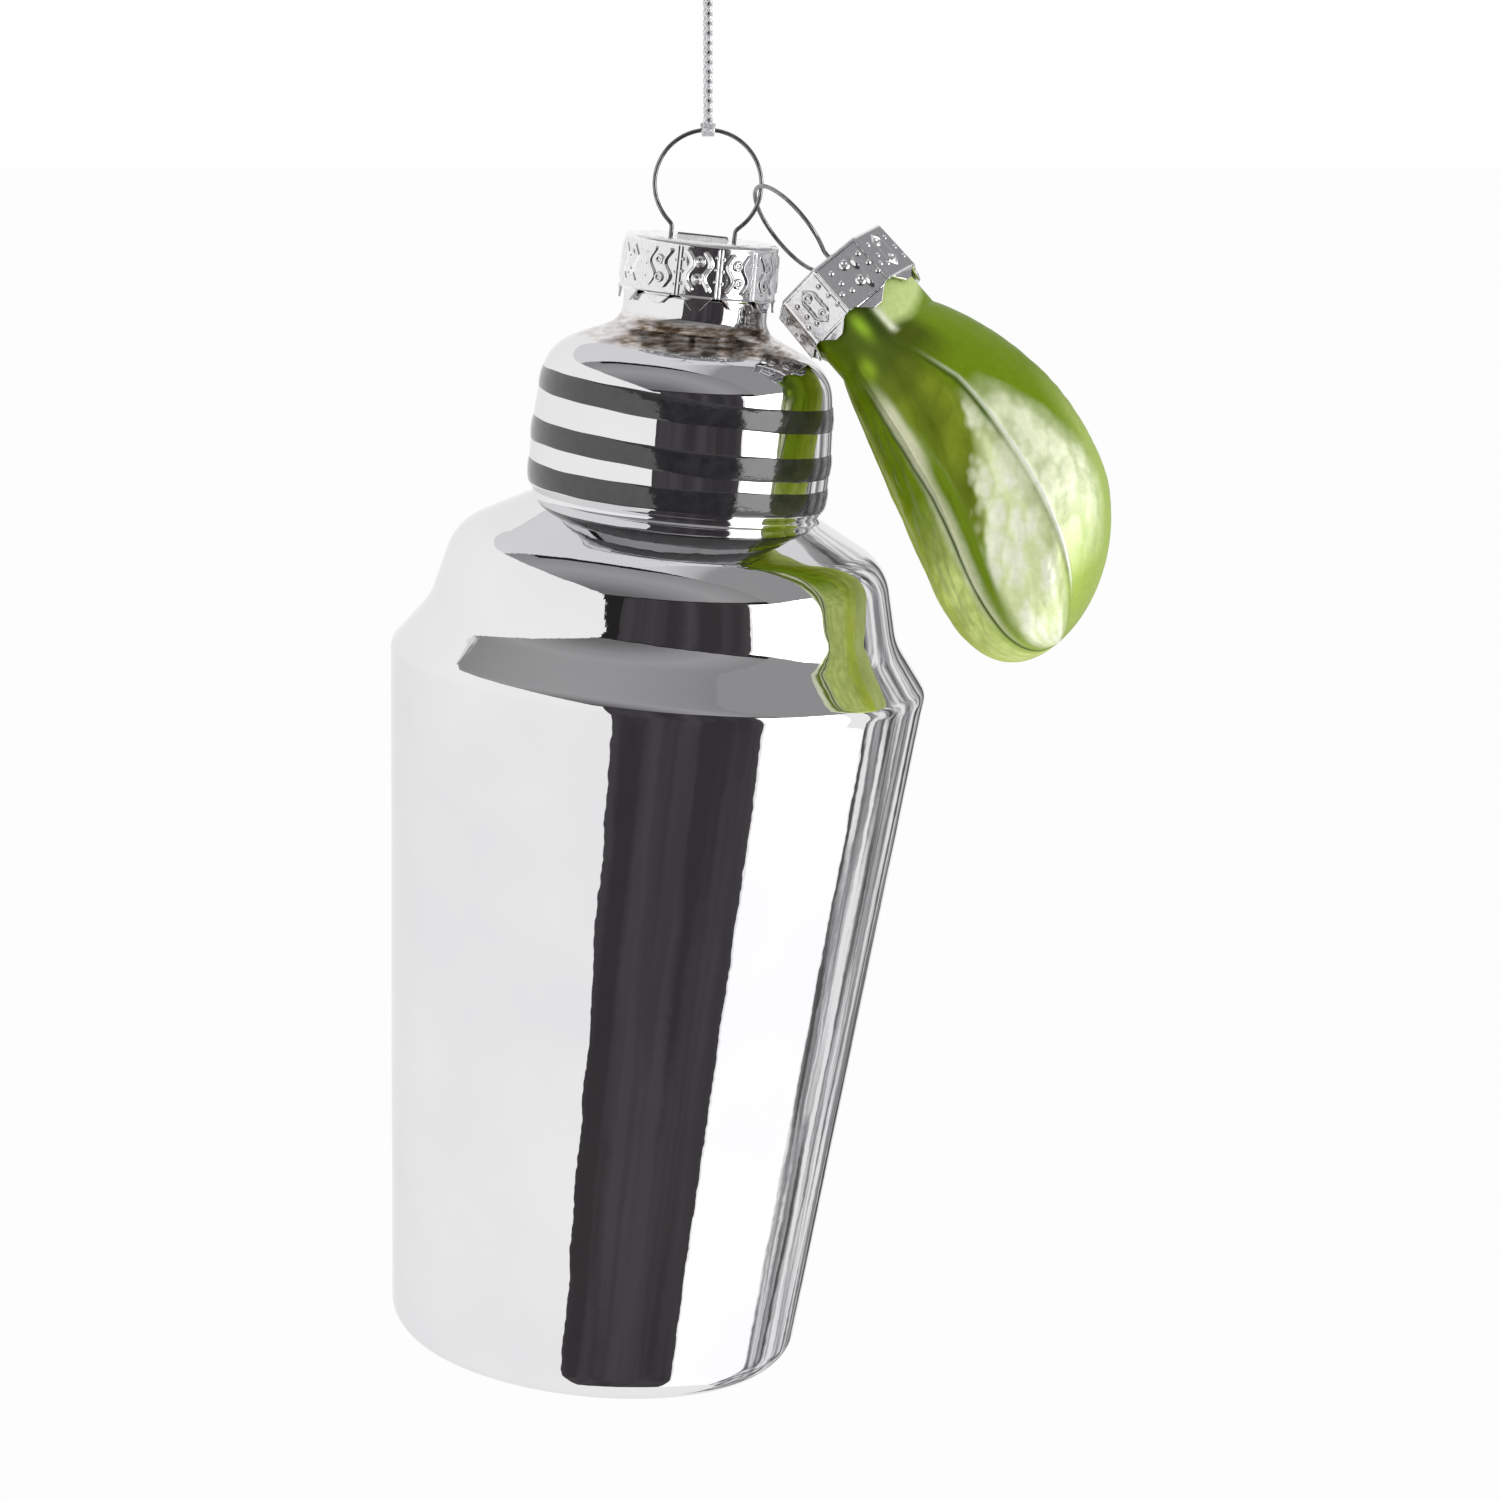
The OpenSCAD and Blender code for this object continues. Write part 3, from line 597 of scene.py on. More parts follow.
def ridge(d, w, h):
    """Height of a rounded ridge at a distance from its middle line."""
    return h * np.exp(-(d / w) ** 2)


def dot(u, v, at, r, h):
    """Height of a domed dot."""
    return h * np.clip(1 - ((u - at[0]) ** 2 + (v - at[1]) ** 2) / r ** 2, 0, 1)


def ring(u, v, at, r, w, h):
    """Height of a raised ring."""
    return ridge(np.hypot(u - at[0], v - at[1]) - r, w, h)


def panel_motif(u, v, wall, half, k):
    """Raised pattern of one panel: two wavy ribbons, ringed bosses between them, and dots by the seams."""
    u = u if k % 2 else -u
    middle = 0.5 * wall + 0.15 + 0.12 * math.sin(2.1 * k)
    inside = step_up(v, 0.8, 0.25) * step_up(v, wall - 0.5, -0.25)
    h = np.zeros(np.broadcast(u, v).shape)
    for side in (-1, 1):
        line = side * RIBBON_OFF * half + RIBBON_SWING * np.sin(2 * np.pi * (v - middle) / RIBBON_PITCH)
        h = np.maximum(h, ridge(u - line, RIBBON_W, RIBBON_H) * inside)
        boss = (0.06 * side, middle + 0.85 * side)
        h = np.maximum(h, ring(u, v, boss, 0.34, 0.12, 0.19) + dot(u, v, boss, 0.14, 0.1))
        for j in (-1, 0, 1):
            at = (0.82 * side * half, middle + 1.15 * j + 0.2 * side)
            h = np.maximum(h, dot(u, v, at, 0.15, 0.1))
    return h


def boss_motif(u, v, k):
    """Raised pattern of one flat panel: two ringed bosses with blobs or a lozenge round them, and dots."""
    h = np.zeros(np.broadcast(u, v).shape)
    for at in BOSSES:
        h = np.maximum(h, ring(u, v, at, 0.32, 0.13, 0.2) + dot(u, v, at, 0.12, 0.08))
    for at in DOTS:
        h = np.maximum(h, dot(u, v, at, 0.26, 0.16))
    if k % 2 == 0:
        x, y = u - LOZENGE_AT[0], v - LOZENGE_AT[1]
        lozenge = np.abs(x) + 0.55 * np.abs(y) - 1.05 + 0.25 * np.cos(np.pi * y / 1.1)
        return np.maximum(h, ridge(lozenge, LOZENGE_W, LOZENGE_H) * (np.abs(y) < 2))
    for at in BLOBS:
        h = np.maximum(h, ridge(np.hypot(u - at[0], 0.45 * (v - at[1])), BLOB_W, BLOB_H))
    return h


def wall_relief(spec, phi, v):
    """Relief of a cap's wall: ribs in pairs along the seams, and a motif on each panel."""
    n, wall = spec["panels"], spec["wall"]
    pitch = 2 * np.pi / n
    turn = (phi - math.radians(spec["seam"])) / pitch
    width, half = pitch * spec["r"], math.pi * spec["r"] / n
    from_seam = (turn - np.floor(turn)) * pitch * spec["r"]
    h = ridge(np.minimum(from_seam, width - from_seam) - SEAM_OFF, SEAM_W, SEAM_H)
    u = from_seam - width / 2
    for k in range(n):
        motif = boss_motif(u, v, k) if spec["flat"] else panel_motif(u, v, wall, half, k)
        h = np.where(np.floor(turn).astype(int) % n == k, np.maximum(h, motif), h)
    fade = step_up(v, 0.35, 0.3) * step_up(v, wall + 0.15, -0.3)
    return h * fade + ridge(v - wall - RIM_OFF, RIM_W, RIM_H)


def tab_edge(spec, phi):
    """Length of the tabs round the cap: pointed, and each cut a little differently."""
    n = spec["panels"]
    turn = (phi - math.radians(spec["seam"])) / (2 * np.pi / n)
    across = np.abs((turn - np.floor(turn)) - 0.5) * 2
    k = np.floor(turn).astype(int) % n
    long = 0.86 + 0.14 * np.sin(2.4 * k + 1.1)
    return spec["tab"] * long * step_up(across, TAB_ROOT, TAB_TIP - TAB_ROOT)


def wall_radius(spec, phi, v):
    """Radius of the cap's wall, round or with flat panels, with its flare."""
    r = spec["r"] + v * math.tan(math.radians(CAP_FLARE))
    if not spec["flat"]:
        return r + 0 * phi
    pitch = 2 * np.pi / spec["panels"]
    off = np.mod(phi - math.radians(spec["seam"]), pitch) - pitch / 2
    return r / np.cos(off)


def top_relief(spec, x, y):
    """Relief of a cap's top: the bar between the wire holes, the pinched holes and shallow dents."""
    span = spec["span"]
    crown = np.clip(1 - (y / BRIDGE_R) ** 2, 0, 1)
    bar = BRIDGE_H * crown * step_up(np.abs(x), span / 2 - 0.54, -0.15)
    holes = sum(dot(x, y, (side * span / 2, 0), HOLE_R, -HOLE_DEPTH) for side in (-1, 1))
    radial = ridge(np.hypot(x, y) - 0.8 * spec["r"], 0.12, 0.07)
    dents = 0.03 * np.sin(2.3 * x + 1) * np.sin(1.9 * y)
    return np.maximum(bar, holes + radial + dents - 0.05)


def cap_top(spec, phi):
    """Rows of a cap's top and its rounded edge, and their relief, which sets the tin's painted shade and
    highlight, with a dark line along the bar.
    """
    rim = wall_radius(spec, phi, 0)
    r = np.linspace(0.004, 1, 72)[:, None] * (rim - CAP_EDGE_R)
    x, y = r * np.cos(phi), r * np.sin(phi)
    h = top_relief(spec, x, y)
    line = (np.abs(y - BAR_LINE_AT) < BAR_LINE_HALF) & (np.abs(x) < spec["span"] / 2)
    relief = np.where(line, 0, np.clip(0.5 + h, 0.3, 0.8))
    a = np.radians(np.linspace(80, 8, 9))[:, None]
    edge = polar(rim - CAP_EDGE_R + CAP_EDGE_R * np.cos(a), phi, CAP_EDGE_R * (np.sin(a) - 1))
    return np.vstack([polar(r, phi, h), edge]), np.vstack([relief, np.full(edge.shape[:2], 0.65)])


def cap_wall(spec, phi):
    """Rows of a cap's wall, down the outside and up the inside, and their relief, which paints the inside
    darker and the raised stamping lighter as painted shade and highlight.
    """
    wall = spec["wall"]
    v = CAP_EDGE_R + np.linspace(0, 1, 96)[:, None] * (wall + tab_edge(spec, phi) - CAP_EDGE_R)
    h = wall_relief(spec, phi, v)
    ragged = 0.05 * np.sin(9 * phi + 3 * v) * step_up(v, wall, 0.6)
    outside = polar(wall_radius(spec, phi, v) + h - 0.06 + ragged, phi, -v)
    v_in = v[::-8]
    inside = polar(wall_radius(spec, phi, v_in) - CAP_SHEET, phi, -v_in)
    # The inside gets a low relief value, which paints it darker: painted shade inside the cap
    return np.vstack([outside, inside]), np.vstack([0.3 + 4 * h, np.full(v_in.shape, 0.2)])


def cap_rows(spec, cols):
    """Rows of a stamped cap, with its top at height 0, and the relief of each point from 0 to 1, which sets
    the tin's painted shade and highlight.
    """
    phi = np.linspace(0, 2 * np.pi, cols, endpoint=False)[None]
    top_rows, top = cap_top(spec, phi)
    wall_rows, wall = cap_wall(spec, phi)
    return np.vstack([top_rows, wall_rows]), np.clip(np.vstack([top, wall]), 0, 1)


def make_caps():
    rows, relief = cap_rows(SHAKER_CAP, 960)
    make_piece("shaker_stamped_cap", [hung_shaker(rows + [0, 0, SHAKER_CAP_AT])], [SHAKER_TIN], "hanger",
               ["shaker_cap"], {"relief": relief.ravel()})
    rows, relief = cap_rows(LIME_CAP, 720)
    make_piece("lime_stamped_cap", [hung_lime(spun(rows, LIME_ROLL))], [LIME_TIN], "lime_hook",
               ["lime_cap"], {"relief": relief.ravel()})


# Hangers, each bent from one wire
WIRE_R, WIRE_SIDES = 0.21, 16
RING_RISE = 1.1
SHAKER_HANGER = dict(r=5.2, span=6.2, leg=20, end=4.64)
LIME_HANGER = dict(r=5.1, span=5.6, leg=13, end=4.39)
LIME_RING_BEND = 1


def hanger_line(spec, bend=0):
    """The wire's line, from one leg's end over the ring to the other, with the cap's top at height 0."""
    r, half = spec["r"], spec["span"] / 2
    centre = RING_RISE + math.sqrt(r ** 2 - half ** 2)
    start = math.asin(half / r)
    a = np.linspace(start, 2 * np.pi - start, 90)
    ring_line = np.c_[r * np.sin(a), 0 * a, centre - r * np.cos(a)]
    rise = denser(np.array([[half, 0, 0], [half, 0, RING_RISE]]), 0.2)
    upper = np.vstack([rise[:-1], ring_line, (rise * [-1, 1, 1])[::-1][1:]])
    b = math.radians(-bend)
    upper = np.c_[upper[:, 0], -upper[:, 2] * math.sin(b), upper[:, 2] * math.cos(b)]
    foot = -CAP_SHEET - 2 * WIRE_R
    leg = denser(np.array([[spec["end"], 0, foot - spec["leg"]], [half, 0, foot], [half, 0, -0.05]]), 0.3)
    return softened(np.vstack([leg, upper[1:], (leg * [-1, 1, 1])[::-1]]), 2)


def make_hangers():
    line = hanger_line(SHAKER_HANGER) + [0, 0, SHAKER_CAP_AT]
    make_piece("shaker_wire_hanger", [hung_shaker(tube_rows(line, WIRE_R, WIRE_SIDES))], [WIRE], "hanger",
               ["shaker_hanger"])
    line = spun(hanger_line(LIME_HANGER, LIME_RING_BEND), LIME_ROLL)
    make_piece("lime_wire_hanger", [hung_lime(tube_rows(line, WIRE_R, WIRE_SIDES))], [WIRE], "lime_hook",
               ["lime_hanger"])


# Lime wedge
LIME_LEN, LIME_BELLY, LIME_DEPTH, BELLY_AT, SHOULDER_AT = 42.1, 10.3, 0.88, 30.5, 9.2
LIME_RIM_AT = 4.4
LIME_BOW, LIME_HOOK, PITH_H, FACE_DIP, LIME_NECK_R = 3.4, 10, 0.28, 0.06, 5.75
SWELL_POWER, FORM_POWER, TIP_POWER = 0.85, 0.6, 2.1
LIME_COLS, LIME_ROWS = 480, 300

# Lines along the lime, as distances from the cap and angles round it: three pith ridges and a dark stripe
RIDGES = [([9, 12.7, 17, 24, 33, 42], [-86, -78, -71, -70, -67, -62]),
          ([9, 14, 18, 24, 30, 42], [-129, -126, -124, -121.5, -124, -126]),
          ([9, 42], [-180, -180])]
RIDGE_WIDTHS = (1.5, 2.2, 2.2)
STRIPE = ([14, 18, 22, 27, 33, 42], [-110, -111, -116, -115.5, -118, -124])
STRIPE_W, STRIPE_DEPTH = 5, 0.35

# Half width, in degrees, of the pale strip along the second ridge
STRIP_WIDTH = ([10, 18, 24, 28, 42], [7.5, 6.5, 4.2, 2.1, 1.4])

# Juice sacs and grain: width and length of a cell, at the lime's mean radius, and heights on pulp and rind
LIME_MEAN_R = 9.5
SAC_SIZE, GRAIN_SIZE = (2.3, 3.3), (1.1, 1.3)
PULP_SAC_H, RIND_SAC_H, GRAIN_H = 0.4, 0.12, 0.05

# Lacquer colours, as seen on a screen
# The rind's near-white pale colour and its side colour are partly a painted highlight of the key light.
RIND, RIND_PALE_SHEEN, RIND_TIP, RIND_KEY_LIT_SIDE = (118, 146, 2), (246, 252, 218), (168, 190, 88), (170, 192, 92)
# The back colours are painted back light: the rind's back is painted lighter, as if lit from behind.
BACK_PAINTED_LIT, BACK_LOW_PAINTED_LIT = (200, 218, 70), (212, 226, 146)
# The pale and white pulp colours are partly a painted highlight of the lacquer's sheen.
PULP, PULP_LUMPS, PULP_PALE_SHEEN, PULP_WHITE_SHEEN = (98, 114, 2), (154, 174, 44), (230, 242, 186), (252, 255, 232)
# The left edge colour is painted back light, lighter as if lit from behind.
LEFT, LEFT_PALE, LEFT_EDGE_PAINTED_LIT = (130, 158, 2), (232, 246, 152), (200, 218, 60)
PITH, PITH_SHADOW, STRIP, STRIP_SHADOW = (250, 253, 244), (70, 96, 6), (226, 228, 194), (60, 84, 4)
# The pale neck colour is painted key light on the neck, and the neck glint is a painted highlight.
STRIPE_GREEN, TOP_GREEN, NECK_KEY_LIT, NECK_GLINT = (112, 138, 0), (82, 100, 2), (208, 226, 150), (244, 250, 222)

# Patches of painted shade and highlight that draw the knob beside the neck: angle, distance from the cap,
# half sizes and colour
KNOB_SHADE_AND_HIGHLIGHTS = [(-108, 7.6, (24, 2.6), (84, 104, 16)), (-88, 7.6, (7, 2.4), (62, 82, 20)),
                (-99, 7.0, (6, 1.5), (156, 196, 48)), (-120, 10.6, (7, 1.2), (150, 182, 40))]


def lime_share(s):
    return (s - SHOULDER_AT) / (LIME_LEN - SHOULDER_AT)


def lime_sway(s):
    h = np.clip(lime_share(s), 0, None)
    return LIME_BOW * h - LIME_HOOK * h ** 2


def lime_half(s):
    up = np.sin(np.pi / 2 * np.clip((s - SHOULDER_AT) / (BELLY_AT - SHOULDER_AT), 0, 1)) ** SWELL_POWER
    down = 1 - np.clip((s - BELLY_AT) / (LIME_LEN - BELLY_AT), 0, 1) ** TIP_POWER
    return np.where(s < BELLY_AT, LIME_NECK_R + (LIME_BELLY - LIME_NECK_R) * up,
                    LIME_BELLY * np.clip(down, 0, 1) ** (1 / TIP_POWER))


def lime_form(s):
    return np.sin(np.pi * np.clip(lime_share(s), 0, 1)) ** FORM_POWER


def angle_from(a, to):
    """Degrees from one angle to another, the short way round."""
    return (a - to + 180) % 360 - 180


def along(a, at, width, power=2):
    """1 on a line along the lime, fading to 0 over a width in degrees."""
    return np.exp(-(np.abs(angle_from(a, at)) / width) ** power)


def face_share(a, start, end):
    """How far across a cut face an angle lies: 0 at the start ridge, 1 at the next, and 0 beyond them."""
    share = (start - a) / (start - end)
    return np.where((share > 0) & (share < 1), share, 0)


def hashed(i, j):
    """A repeatable number from 0 to 1 for each cell."""
    return np.mod(np.sin(i * 127.1 + j * 311.7) * 43758.5453, 1)


def cells(x, y):
    """Distance to the nearest of scattered points, one to each unit cell: for the pulp's juice sacs."""
    near = np.full(np.broadcast(x, y).shape, 9.0)
    for di in (-1, 0, 1):
        for dj in (-1, 0, 1):
            i, j = np.floor(x) + di, np.floor(y) + dj
            px, py = i + hashed(i, j), j + hashed(i + 7, j + 3)
            near = np.minimum(near, np.hypot(x - px, y - py))
    return near


def make_lime():
    share = np.r_[np.linspace(0, 0.14, 26)[:-1], 0.14 + 0.86 * np.sin(np.linspace(0, np.pi / 2, LIME_ROWS))]
    s = (LIME_RIM_AT + (LIME_LEN - LIME_RIM_AT) * share)[:, None]
    a = np.linspace(-180, 180, LIME_COLS, endpoint=False)[None]
    rad = np.radians(a)
    form, half = lime_form(s), lime_half(s)
    ridges = [np.interp(s, *line) for line in RIDGES]
    faces = [np.sin(np.pi * face_share(a, ridges[k], ridges[k + 1])) ** 2 for k in (0, 1)]
    pith = [along(a, at, w) for at, w in zip(ridges, RIDGE_WIDTHS)]
    across = rad * LIME_MEAN_R
    sacs = np.clip(0.7 - cells(across / SAC_SIZE[0] + 0.12 * s, s / SAC_SIZE[1]), -0.3, 0.7)
    grain = np.clip(0.7 - cells(across / GRAIN_SIZE[0], s / GRAIN_SIZE[1]), -0.2, 0.7)
    stripe = along(a, np.interp(s, *STRIPE), STRIPE_W) * step_up(s, 17, 6) * form
    pulp = sum(np.clip(f * 2, 0, 1) for f in faces) * form
    rind = np.clip(1 - sum(faces) * 3, 0, 1) * form
    lift = (PITH_H * sum(pith) * form + PULP_SAC_H * (sacs - 0.42) * pulp * (1 - 0.6 * stripe)
            + RIND_SAC_H * (sacs - 0.4) * rind + GRAIN_H * (grain - 0.4) * form - STRIPE_DEPTH * stripe)
    grow = 1 - FACE_DIP * sum(faces) * form
    depth = half * np.where(s <= SHOULDER_AT, 1, 1 - (1 - LIME_DEPTH) * form)
    x = lime_sway(s) + (half * grow + lift) * np.cos(rad)
    y = (depth * grow + lift) * np.sin(rad)
    rows = np.stack([x, y, -s + 0 * a], -1)
    paint = lime_paint(s, a, faces, ridges, sacs, grain, stripe)
    make_piece("lime_blown_glass", [hung_lime(rows)], [LACQUER], "lime", ["lime_glass"],
               {"paint": paint.reshape(-1, 4)})


def linear(colour):
    """A colour as seen on a screen, turned into the linear values that a shader takes."""
    c = np.array(colour) / 255
    return np.where(c <= 0.04045, c / 12.92, ((c + 0.055) / 1.055) ** 2.4)


def blend_to(base, colour, amount):
    return base + (linear(colour) - base) * np.clip(amount, 0, 1)[..., None]


def paint_rind(s, a, mottled):
    """The rind: green above, pale below, greener at the tip and yellow-green behind; the pale part below and
    the lighter right side are partly a painted highlight of the key light, and the yellow-green behind is
    painted back light.
    """
    pale_from = 17.5 + 0.31 * np.clip(a + 58, 0, 35)
    base = np.broadcast_to(linear(RIND), a.shape + (3,)).copy()
    # Paler below: partly a painted highlight of the key light's sheen
    base = blend_to(base, RIND_PALE_SHEEN, step_up(s, pale_from, 6) * (0.65 + 0.6 * mottled))
    base = blend_to(base, RIND_TIP, step_up(s, 33, 6))
    # Lighter on the right side: partly a painted highlight where the key light falls
    base = blend_to(base, RIND_KEY_LIT_SIDE, step_up(a, -34, 16) * step_up(s, 20, 8))
    # Painted back light: the back of the rind is painted lighter yellow-green
    back = step_up(a, 20, 40) * (0.6 + 0.4 * mottled)
    base = blend_to(base, BACK_PAINTED_LIT, back)
    return blend_to(base, BACK_LOW_PAINTED_LIT, back * step_up(s, 22, 8))


def paint_faces(base, s, a, faces, mottled, grain):
    """The two cut faces: green above and pale below, the front one with lumps and with pale and white pulp
    that is partly a painted highlight; the left edge is painted back light.
    """
    cut, left = (np.clip(f * 2.5, 0, 1) for f in faces)
    lumps = np.clip(1.1 - 1.3 * cells(np.radians(a) * 3.1 + 0.1 * s, s / 3.6), 0, 1)
    low_from = 18 + 0.36 * np.clip(-80 - a, 0, 30)
    low = np.clip((s - low_from) / 4 + 0.6 * (mottled - 0.5), 0, 1)
    base = blend_to(base, PULP, cut)
    base = blend_to(base, PULP_LUMPS, cut * lumps * 0.6)
    # Pale lower part and white spots of the front face: partly a painted highlight
    base = blend_to(base, PULP_PALE_SHEEN, cut * low)
    base = blend_to(base, PULP_WHITE_SHEEN, cut * low * np.clip(1.4 * mottled - 0.1, 0, 1))
    base = blend_to(base, LEFT, left)
    base = blend_to(base, LEFT_PALE, left * step_up(s, 23, 8) * (0.6 + 0.4 * grain))
    # Painted back light: the left edge is painted lighter
    return blend_to(base, LEFT_EDGE_PAINTED_LIT, step_up(a, -160, -12) * 0.8)


def paint_lines(base, s, a, ridges, stripe):
    """The ridges' white line and pale strip, their shadows and the dark stripe; returns the strip too."""
    shadow = np.interp(s, [10, 14, 21, 26, 42], [0, 1, 1, 0.35, 0.2])
    line = along(a, ridges[0], 1.1) * np.interp(s, [11, 15, 22, 26], [0, 0.4, 0.65, 1])
    base = blend_to(base, PITH_SHADOW, along(a, ridges[0] - 2.4, 1.5) * shadow)
    base = blend_to(base, PITH, line * step_up(s, 40, -3))
    shown = step_up(s, 11, 4)
    width = np.interp(s, *STRIP_WIDTH)
    strip = along(a, ridges[1], width, 4)
    base = blend_to(base, STRIP_SHADOW, along(a, ridges[1] - width - 1.2, 1.6) * shown)
    base = blend_to(base, STRIP, strip * shown * step_up(s, 41, -4))
    return blend_to(base, STRIPE_GREEN, np.clip(stripe * 1.3, 0, 1)), strip


def paint_neck(base, s, a, strip):
    """The dark top of the faces, the knob beside the neck in painted shade and highlights, and the neck
    painted pale on the side the key light falls on, with a painted glint at its side.
    """
    top = step_up(s, 15.5, -4) * step_up(a, -50, -14) * step_up(a, -150, 20)
    base = blend_to(base, TOP_GREEN, top * (1 - 0.5 * strip))
    # Painted shade and highlights that draw the knob
    for at, where, size, colour in KNOB_SHADE_AND_HIGHLIGHTS:
        patch = np.exp(-((a - at) / size[0]) ** 2 - ((s - where) / size[1]) ** 2)
        base = blend_to(base, colour, patch)
    # Painted light: the neck painted pale where the key light falls, and a painted glint along its side
    neck_end = 9.9 - 0.012 * np.abs(a + 58) ** 1.3
    base = blend_to(base, NECK_KEY_LIT, step_up(s, neck_end, -1.2) * step_up(a, -81, 3))
    return blend_to(base, NECK_GLINT, np.exp(-((a + 77) / 3.5) ** 2) * step_up(s, 10, -0.8))


def lime_paint(s, a, faces, ridges, sacs, grain, stripe):
    """Lacquer colours by place: rind, two cut faces, pith lines, the dark stripe and the pale neck."""
    s, a = np.broadcast_arrays(s, a)
    mottled = np.clip(0.5 + 1.5 * (sacs - 0.3) + 0.8 * (grain - 0.3), 0, 1)
    base = paint_rind(s, a, mottled)
    base = paint_faces(base, s, a, faces, mottled, grain)
    base, strip = paint_lines(base, s, a, ridges, stripe)
    base = paint_neck(base, s, a, strip)
    return np.concatenate([base, np.ones(a.shape + (1,))], -1)


# Stage: white surroundings, a dark card by the camera, a soft light at the right and a pale floor
MIDDLE = np.array([0.0, 0.0, -0.1])
KEY_RADIANCE, KEY_SIZE, KEY_AZIMUTH, KEY_FAR = 2.2, (0.46, 0.5), 68, 0.6
FILL = 0.9
CARD_R, CARD_POINTS = 0.43, 40
FLOOR_Z, FLOOR_X, FLOOR_Y, FLOOR_GREY, FLOOR_WHITE = -0.52, (-4, 4), (-2, 12), 0.9, 0.9


def ray_white(tree):
    """1 for rays that show the background: from the camera, off gloss and through glass."""
    path = tree.nodes.new("ShaderNodeLightPath")
    value = path.outputs["Is Camera Ray"]
    for kind in ("Is Glossy Ray", "Is Transmission Ray"):
        larger = tree.nodes.new("ShaderNodeMath")
        larger.operation = "MAXIMUM"
        tree.links.new(value, larger.inputs[0])
        tree.links.new(path.outputs[kind], larger.inputs[1])
        value = larger.outputs[0]
    return value


def make_world():
    world = bpy.data.worlds.new("studio")
    bpy.context.scene.world = world
    world.use_nodes = True
    tree = world.node_tree
    background = tree.nodes["Background"]
    background.inputs["Color"].default_value = (1, 1, 1, 1)
    strength = tree.nodes.new("ShaderNodeMapRange")
    strength.inputs["To Min"].default_value = FILL
    strength.inputs["To Max"].default_value = 1.0
    tree.links.new(ray_white(tree), strength.inputs["Value"])
    tree.links.new(strength.outputs["Result"], background.inputs["Strength"])


def emitter(name, strength=1.0):
    """A white emission material, its node tree and its emission node."""
    material = bpy.data.materials.new(name)
    material.use_nodes = True
    tree = material.node_tree
    tree.nodes.remove(tree.nodes["Principled BSDF"])
    light = tree.nodes.new("ShaderNodeEmission")
    light.inputs["Color"].default_value = (1, 1, 1, 1)
    light.inputs["Strength"].default_value = strength
    tree.links.new(light.outputs[0], tree.nodes["Material Output"].inputs["Surface"])
    return material, tree, light


def sector(name, azimuth, elevation, radius, material):
    """Part of a sphere round the object: azimuth from the camera's side, plus to the right, in degrees."""
    n = CARD_POINTS
    az, el = np.meshgrid(np.radians(np.linspace(*azimuth, n)), np.radians(np.linspace(*elevation, n)))
    points = np.stack([np.cos(el) * np.sin(az), -np.cos(el) * np.cos(az), np.sin(el)], -1) * radius + MIDDLE
    i, j = np.meshgrid(np.arange(n - 1), np.arange(n - 1), indexing="ij")
    faces = np.stack([i * n + j, i * n + j + 1, (i + 1) * n + j + 1, (i + 1) * n + j], -1).reshape(-1, 4)
    return card_object(name, points.reshape(-1, 3).tolist(), faces.tolist(), material)


def card_object(name, points, faces, material):
    """A stage card that shows only in gloss, so that it takes no light from the object."""
    mesh = bpy.data.meshes.new(name)
    mesh.from_pydata(points, [], faces)
    mesh.materials.append(material)
    obj = bpy.data.objects.new(name, mesh)
    bpy.context.scene.collection.objects.link(obj)
    obj.visible_camera = False
    obj.visible_diffuse = False
    obj.visible_shadow = False
    return obj


# Ceiling, on a sphere of radius 1 about the object: its far edge, the tops of the soft boxes, and a black
# line along the far edge that thins out to the right
CEILING_EDGE = (-0.55, -0.22)
LEFT_TOP, RIGHT_TOP, WALL_TOP = 0.85, 0.42, 0.33
LINE_W, LINE_LEFT, LINE_RIGHT, LINE_RUN = 0.09, -0.6, 0.28, -0.4

# Greys of the ceiling from its far edge to the camera, of its foot, and of the backdrop, darker to the right
CEILING_GREYS = ([0, 0.4, 0.65, 0.9], [0.28, 0.37, 0.3, 0.17])
FOOT_H, FOOT_GREY, LINE_GREY = 0.07, 0.02, 0.012
BACKDROP_LOW, BACKDROP_GREY = 0.6, 0.78
RIGHT_FROM, RIGHT_SLOPE = 0.05, 1.2
RIGHT_GREYS = ([0.05, 0.24, 0.31], [0.72, 0.5, 0.32])


def ceiling_greys(x, y, z):
    """Grey of the ceiling and backdrop in each direction, and whether anything is there."""
    near = CEILING_EDGE[0] * x + CEILING_EDGE[1] * z - y
    above = z - np.maximum(np.where(x < 0, -LEFT_TOP * x, RIGHT_TOP * x), WALL_TOP)
    right = (near < 0) & (y < RIGHT_SLOPE * (x - RIGHT_FROM))
    line = (near < LINE_W * step_up(x, LINE_RIGHT, LINE_RUN)) & (x > LINE_LEFT)
    grey = np.interp(near, *CEILING_GREYS)
    grey = np.where(z < WALL_TOP + FOOT_H, FOOT_GREY, grey)
    grey = np.where(line, LINE_GREY, grey)
    grey = np.where(near < 0, BACKDROP_GREY, grey)
    grey = np.where(right, np.interp(x, *RIGHT_GREYS), grey)
    return grey, (above > 0) & ((near > 0) | (z > BACKDROP_LOW) | right)


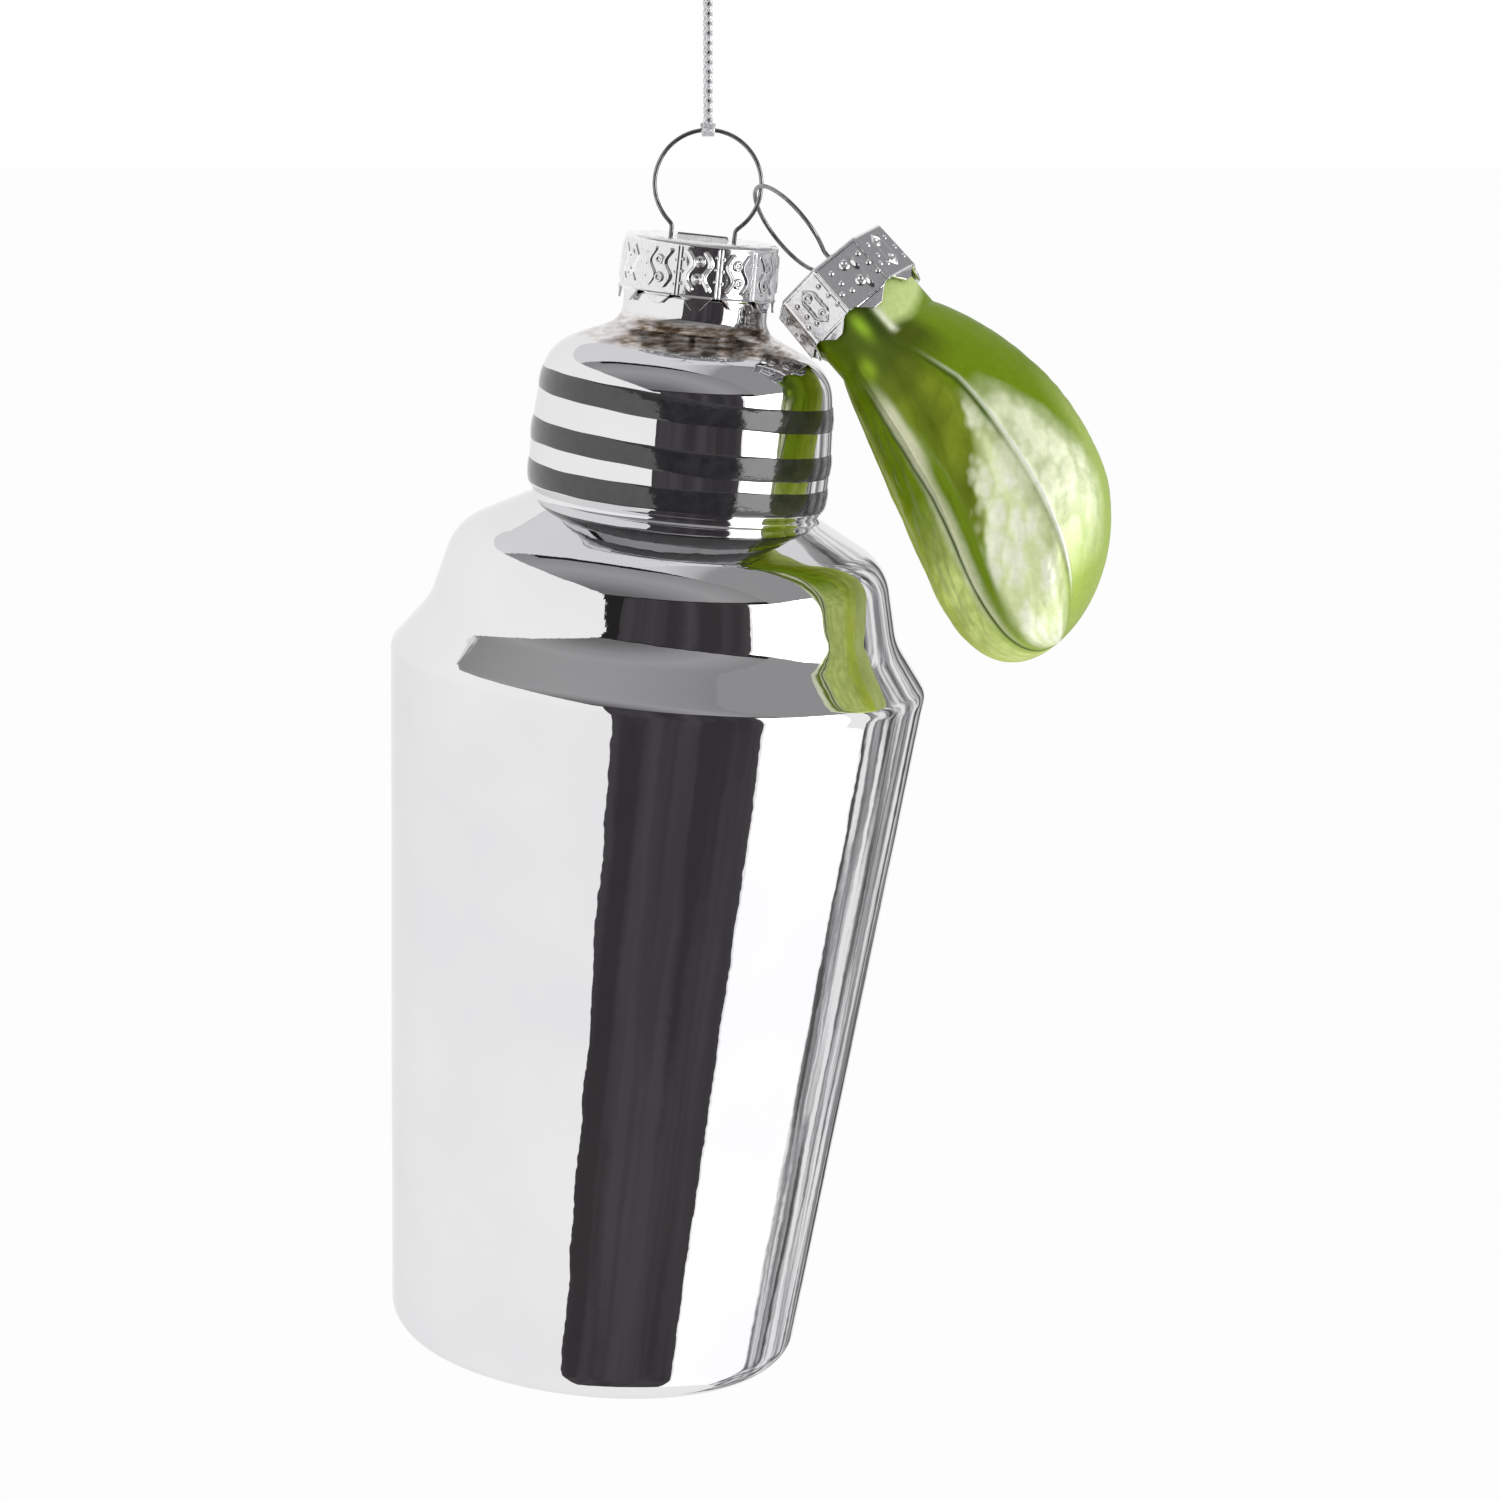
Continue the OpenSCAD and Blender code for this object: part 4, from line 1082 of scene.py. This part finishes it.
def make_ceiling():
    """A grey ceiling with a black far edge, between the tops of the soft boxes, and a backdrop behind it."""
    rings, cols = 150, 300
    polars, turns = np.radians(np.linspace(0.1, 82, rings)), np.linspace(0, 2 * np.pi, cols, endpoint=False)
    down, turn = np.meshgrid(polars, turns, indexing="ij")
    x, y, z = np.sin(down) * np.cos(turn), np.sin(down) * np.sin(turn), np.cos(down)
    grey, shown = ceiling_greys(x, y, z)
    faces = grid_faces(rings, cols)
    kept = shown.ravel()[faces].all(1)
    material, tree, light = emitter("ceiling")
    tree.links.new(attribute(tree, "shade", "Color"), light.inputs["Color"])
    points = np.stack([x, y, z], -1).reshape(-1, 3) * (CARD_R + 0.03) + MIDDLE
    card = card_object("ceiling", points.tolist(), faces[kept].tolist(), material)
    layer = card.data.attributes.new("shade", "FLOAT_COLOR", "POINT")
    colour = np.stack([grey, grey * 0.985, grey * 1.01, np.ones_like(grey)], -1)
    layer.data.foreach_set("color", colour.astype(np.float32).ravel())


def streaked_card(name, azimuth, elevation, radius, texture, stops):
    """A card with upright streaks: the scale, detail and stretch of their noise, and their colours."""
    material, tree, light = emitter(name)
    tree.links.new(ramp(tree, noise(tree, *texture), stops), light.inputs["Color"])
    sector(name, azimuth, elevation, radius, material)


def make_cards():
    streaked_card("dark_card", (-19, 45), (-62, 22.5), CARD_R, (9, 3, (1.4, 1.4, 0.15)),
                  [(0.38, (0.042, 0.037, 0.041, 1)), (0.6, (0.07, 0.063, 0.069, 1))])
    make_ceiling()
    streaked_card("grey_card", (102, 164), (-62, 40), CARD_R + 0.04, (16, 3, (1.6, 1.6, 0.1)),
                  [(0.36, (0.1, 0.1, 0.1, 1)), (0.5, (0.4, 0.4, 0.41, 1)), (0.62, (0.95, 0.95, 0.95, 1))])
    white, _, _ = emitter("white_card", 1.25)
    sector("white_card", (46, 101), (-62, -21), CARD_R + 0.01, white)


def make_lights():
    data = bpy.data.lights.new("key", "AREA")
    data.shape = "RECTANGLE"
    data.size, data.size_y = KEY_SIZE
    data.energy = KEY_RADIANCE * math.pi * data.size * data.size_y
    key = bpy.data.objects.new("key", data)
    az = math.radians(KEY_AZIMUTH)
    key.location = (KEY_FAR * math.sin(az), -KEY_FAR * math.cos(az), MIDDLE[2])
    key.rotation_euler = (Vector(MIDDLE) - Vector(key.location)).to_track_quat("-Z", "Y").to_euler()
    bpy.context.scene.collection.objects.link(key)


def make_floor():
    mesh = bpy.data.meshes.new("floor")
    (left, right), (front, back) = FLOOR_X, FLOOR_Y
    corners = [(left, front), (right, front), (right, back), (left, back)]
    mesh.from_pydata([(x, y, FLOOR_Z) for x, y in corners], [], [(0, 1, 2, 3)])
    material, tree, shader = new_material("pale_floor", Roughness=0.9)
    shader.inputs["Base Color"].default_value = (FLOOR_GREY, FLOOR_GREY, FLOOR_GREY, 1)
    white = tree.nodes.new("ShaderNodeEmission")
    white.inputs["Color"].default_value = (1, 1, 1, 1)
    white.inputs["Strength"].default_value = 1.0
    blend = tree.nodes.new("ShaderNodeMixShader")
    amount = tree.nodes.new("ShaderNodeMath")
    amount.operation = "MULTIPLY"
    amount.inputs[1].default_value = FLOOR_WHITE
    tree.links.new(ray_white(tree), amount.inputs[0])
    tree.links.new(amount.outputs[0], blend.inputs[0])
    tree.links.new(shader.outputs[0], blend.inputs[1])
    tree.links.new(white.outputs[0], blend.inputs[2])
    tree.links.new(blend.outputs[0], tree.nodes["Material Output"].inputs["Surface"])
    mesh.materials.append(material)
    floor = bpy.data.objects.new("floor", mesh)
    bpy.context.scene.collection.objects.link(floor)


make_camera()
make_cord()
make_shaker()
make_caps()
make_hangers()
make_lime()
make_world()
make_cards()
make_lights()
make_floor()
bpy.context.scene.view_settings.view_transform = "Standard"
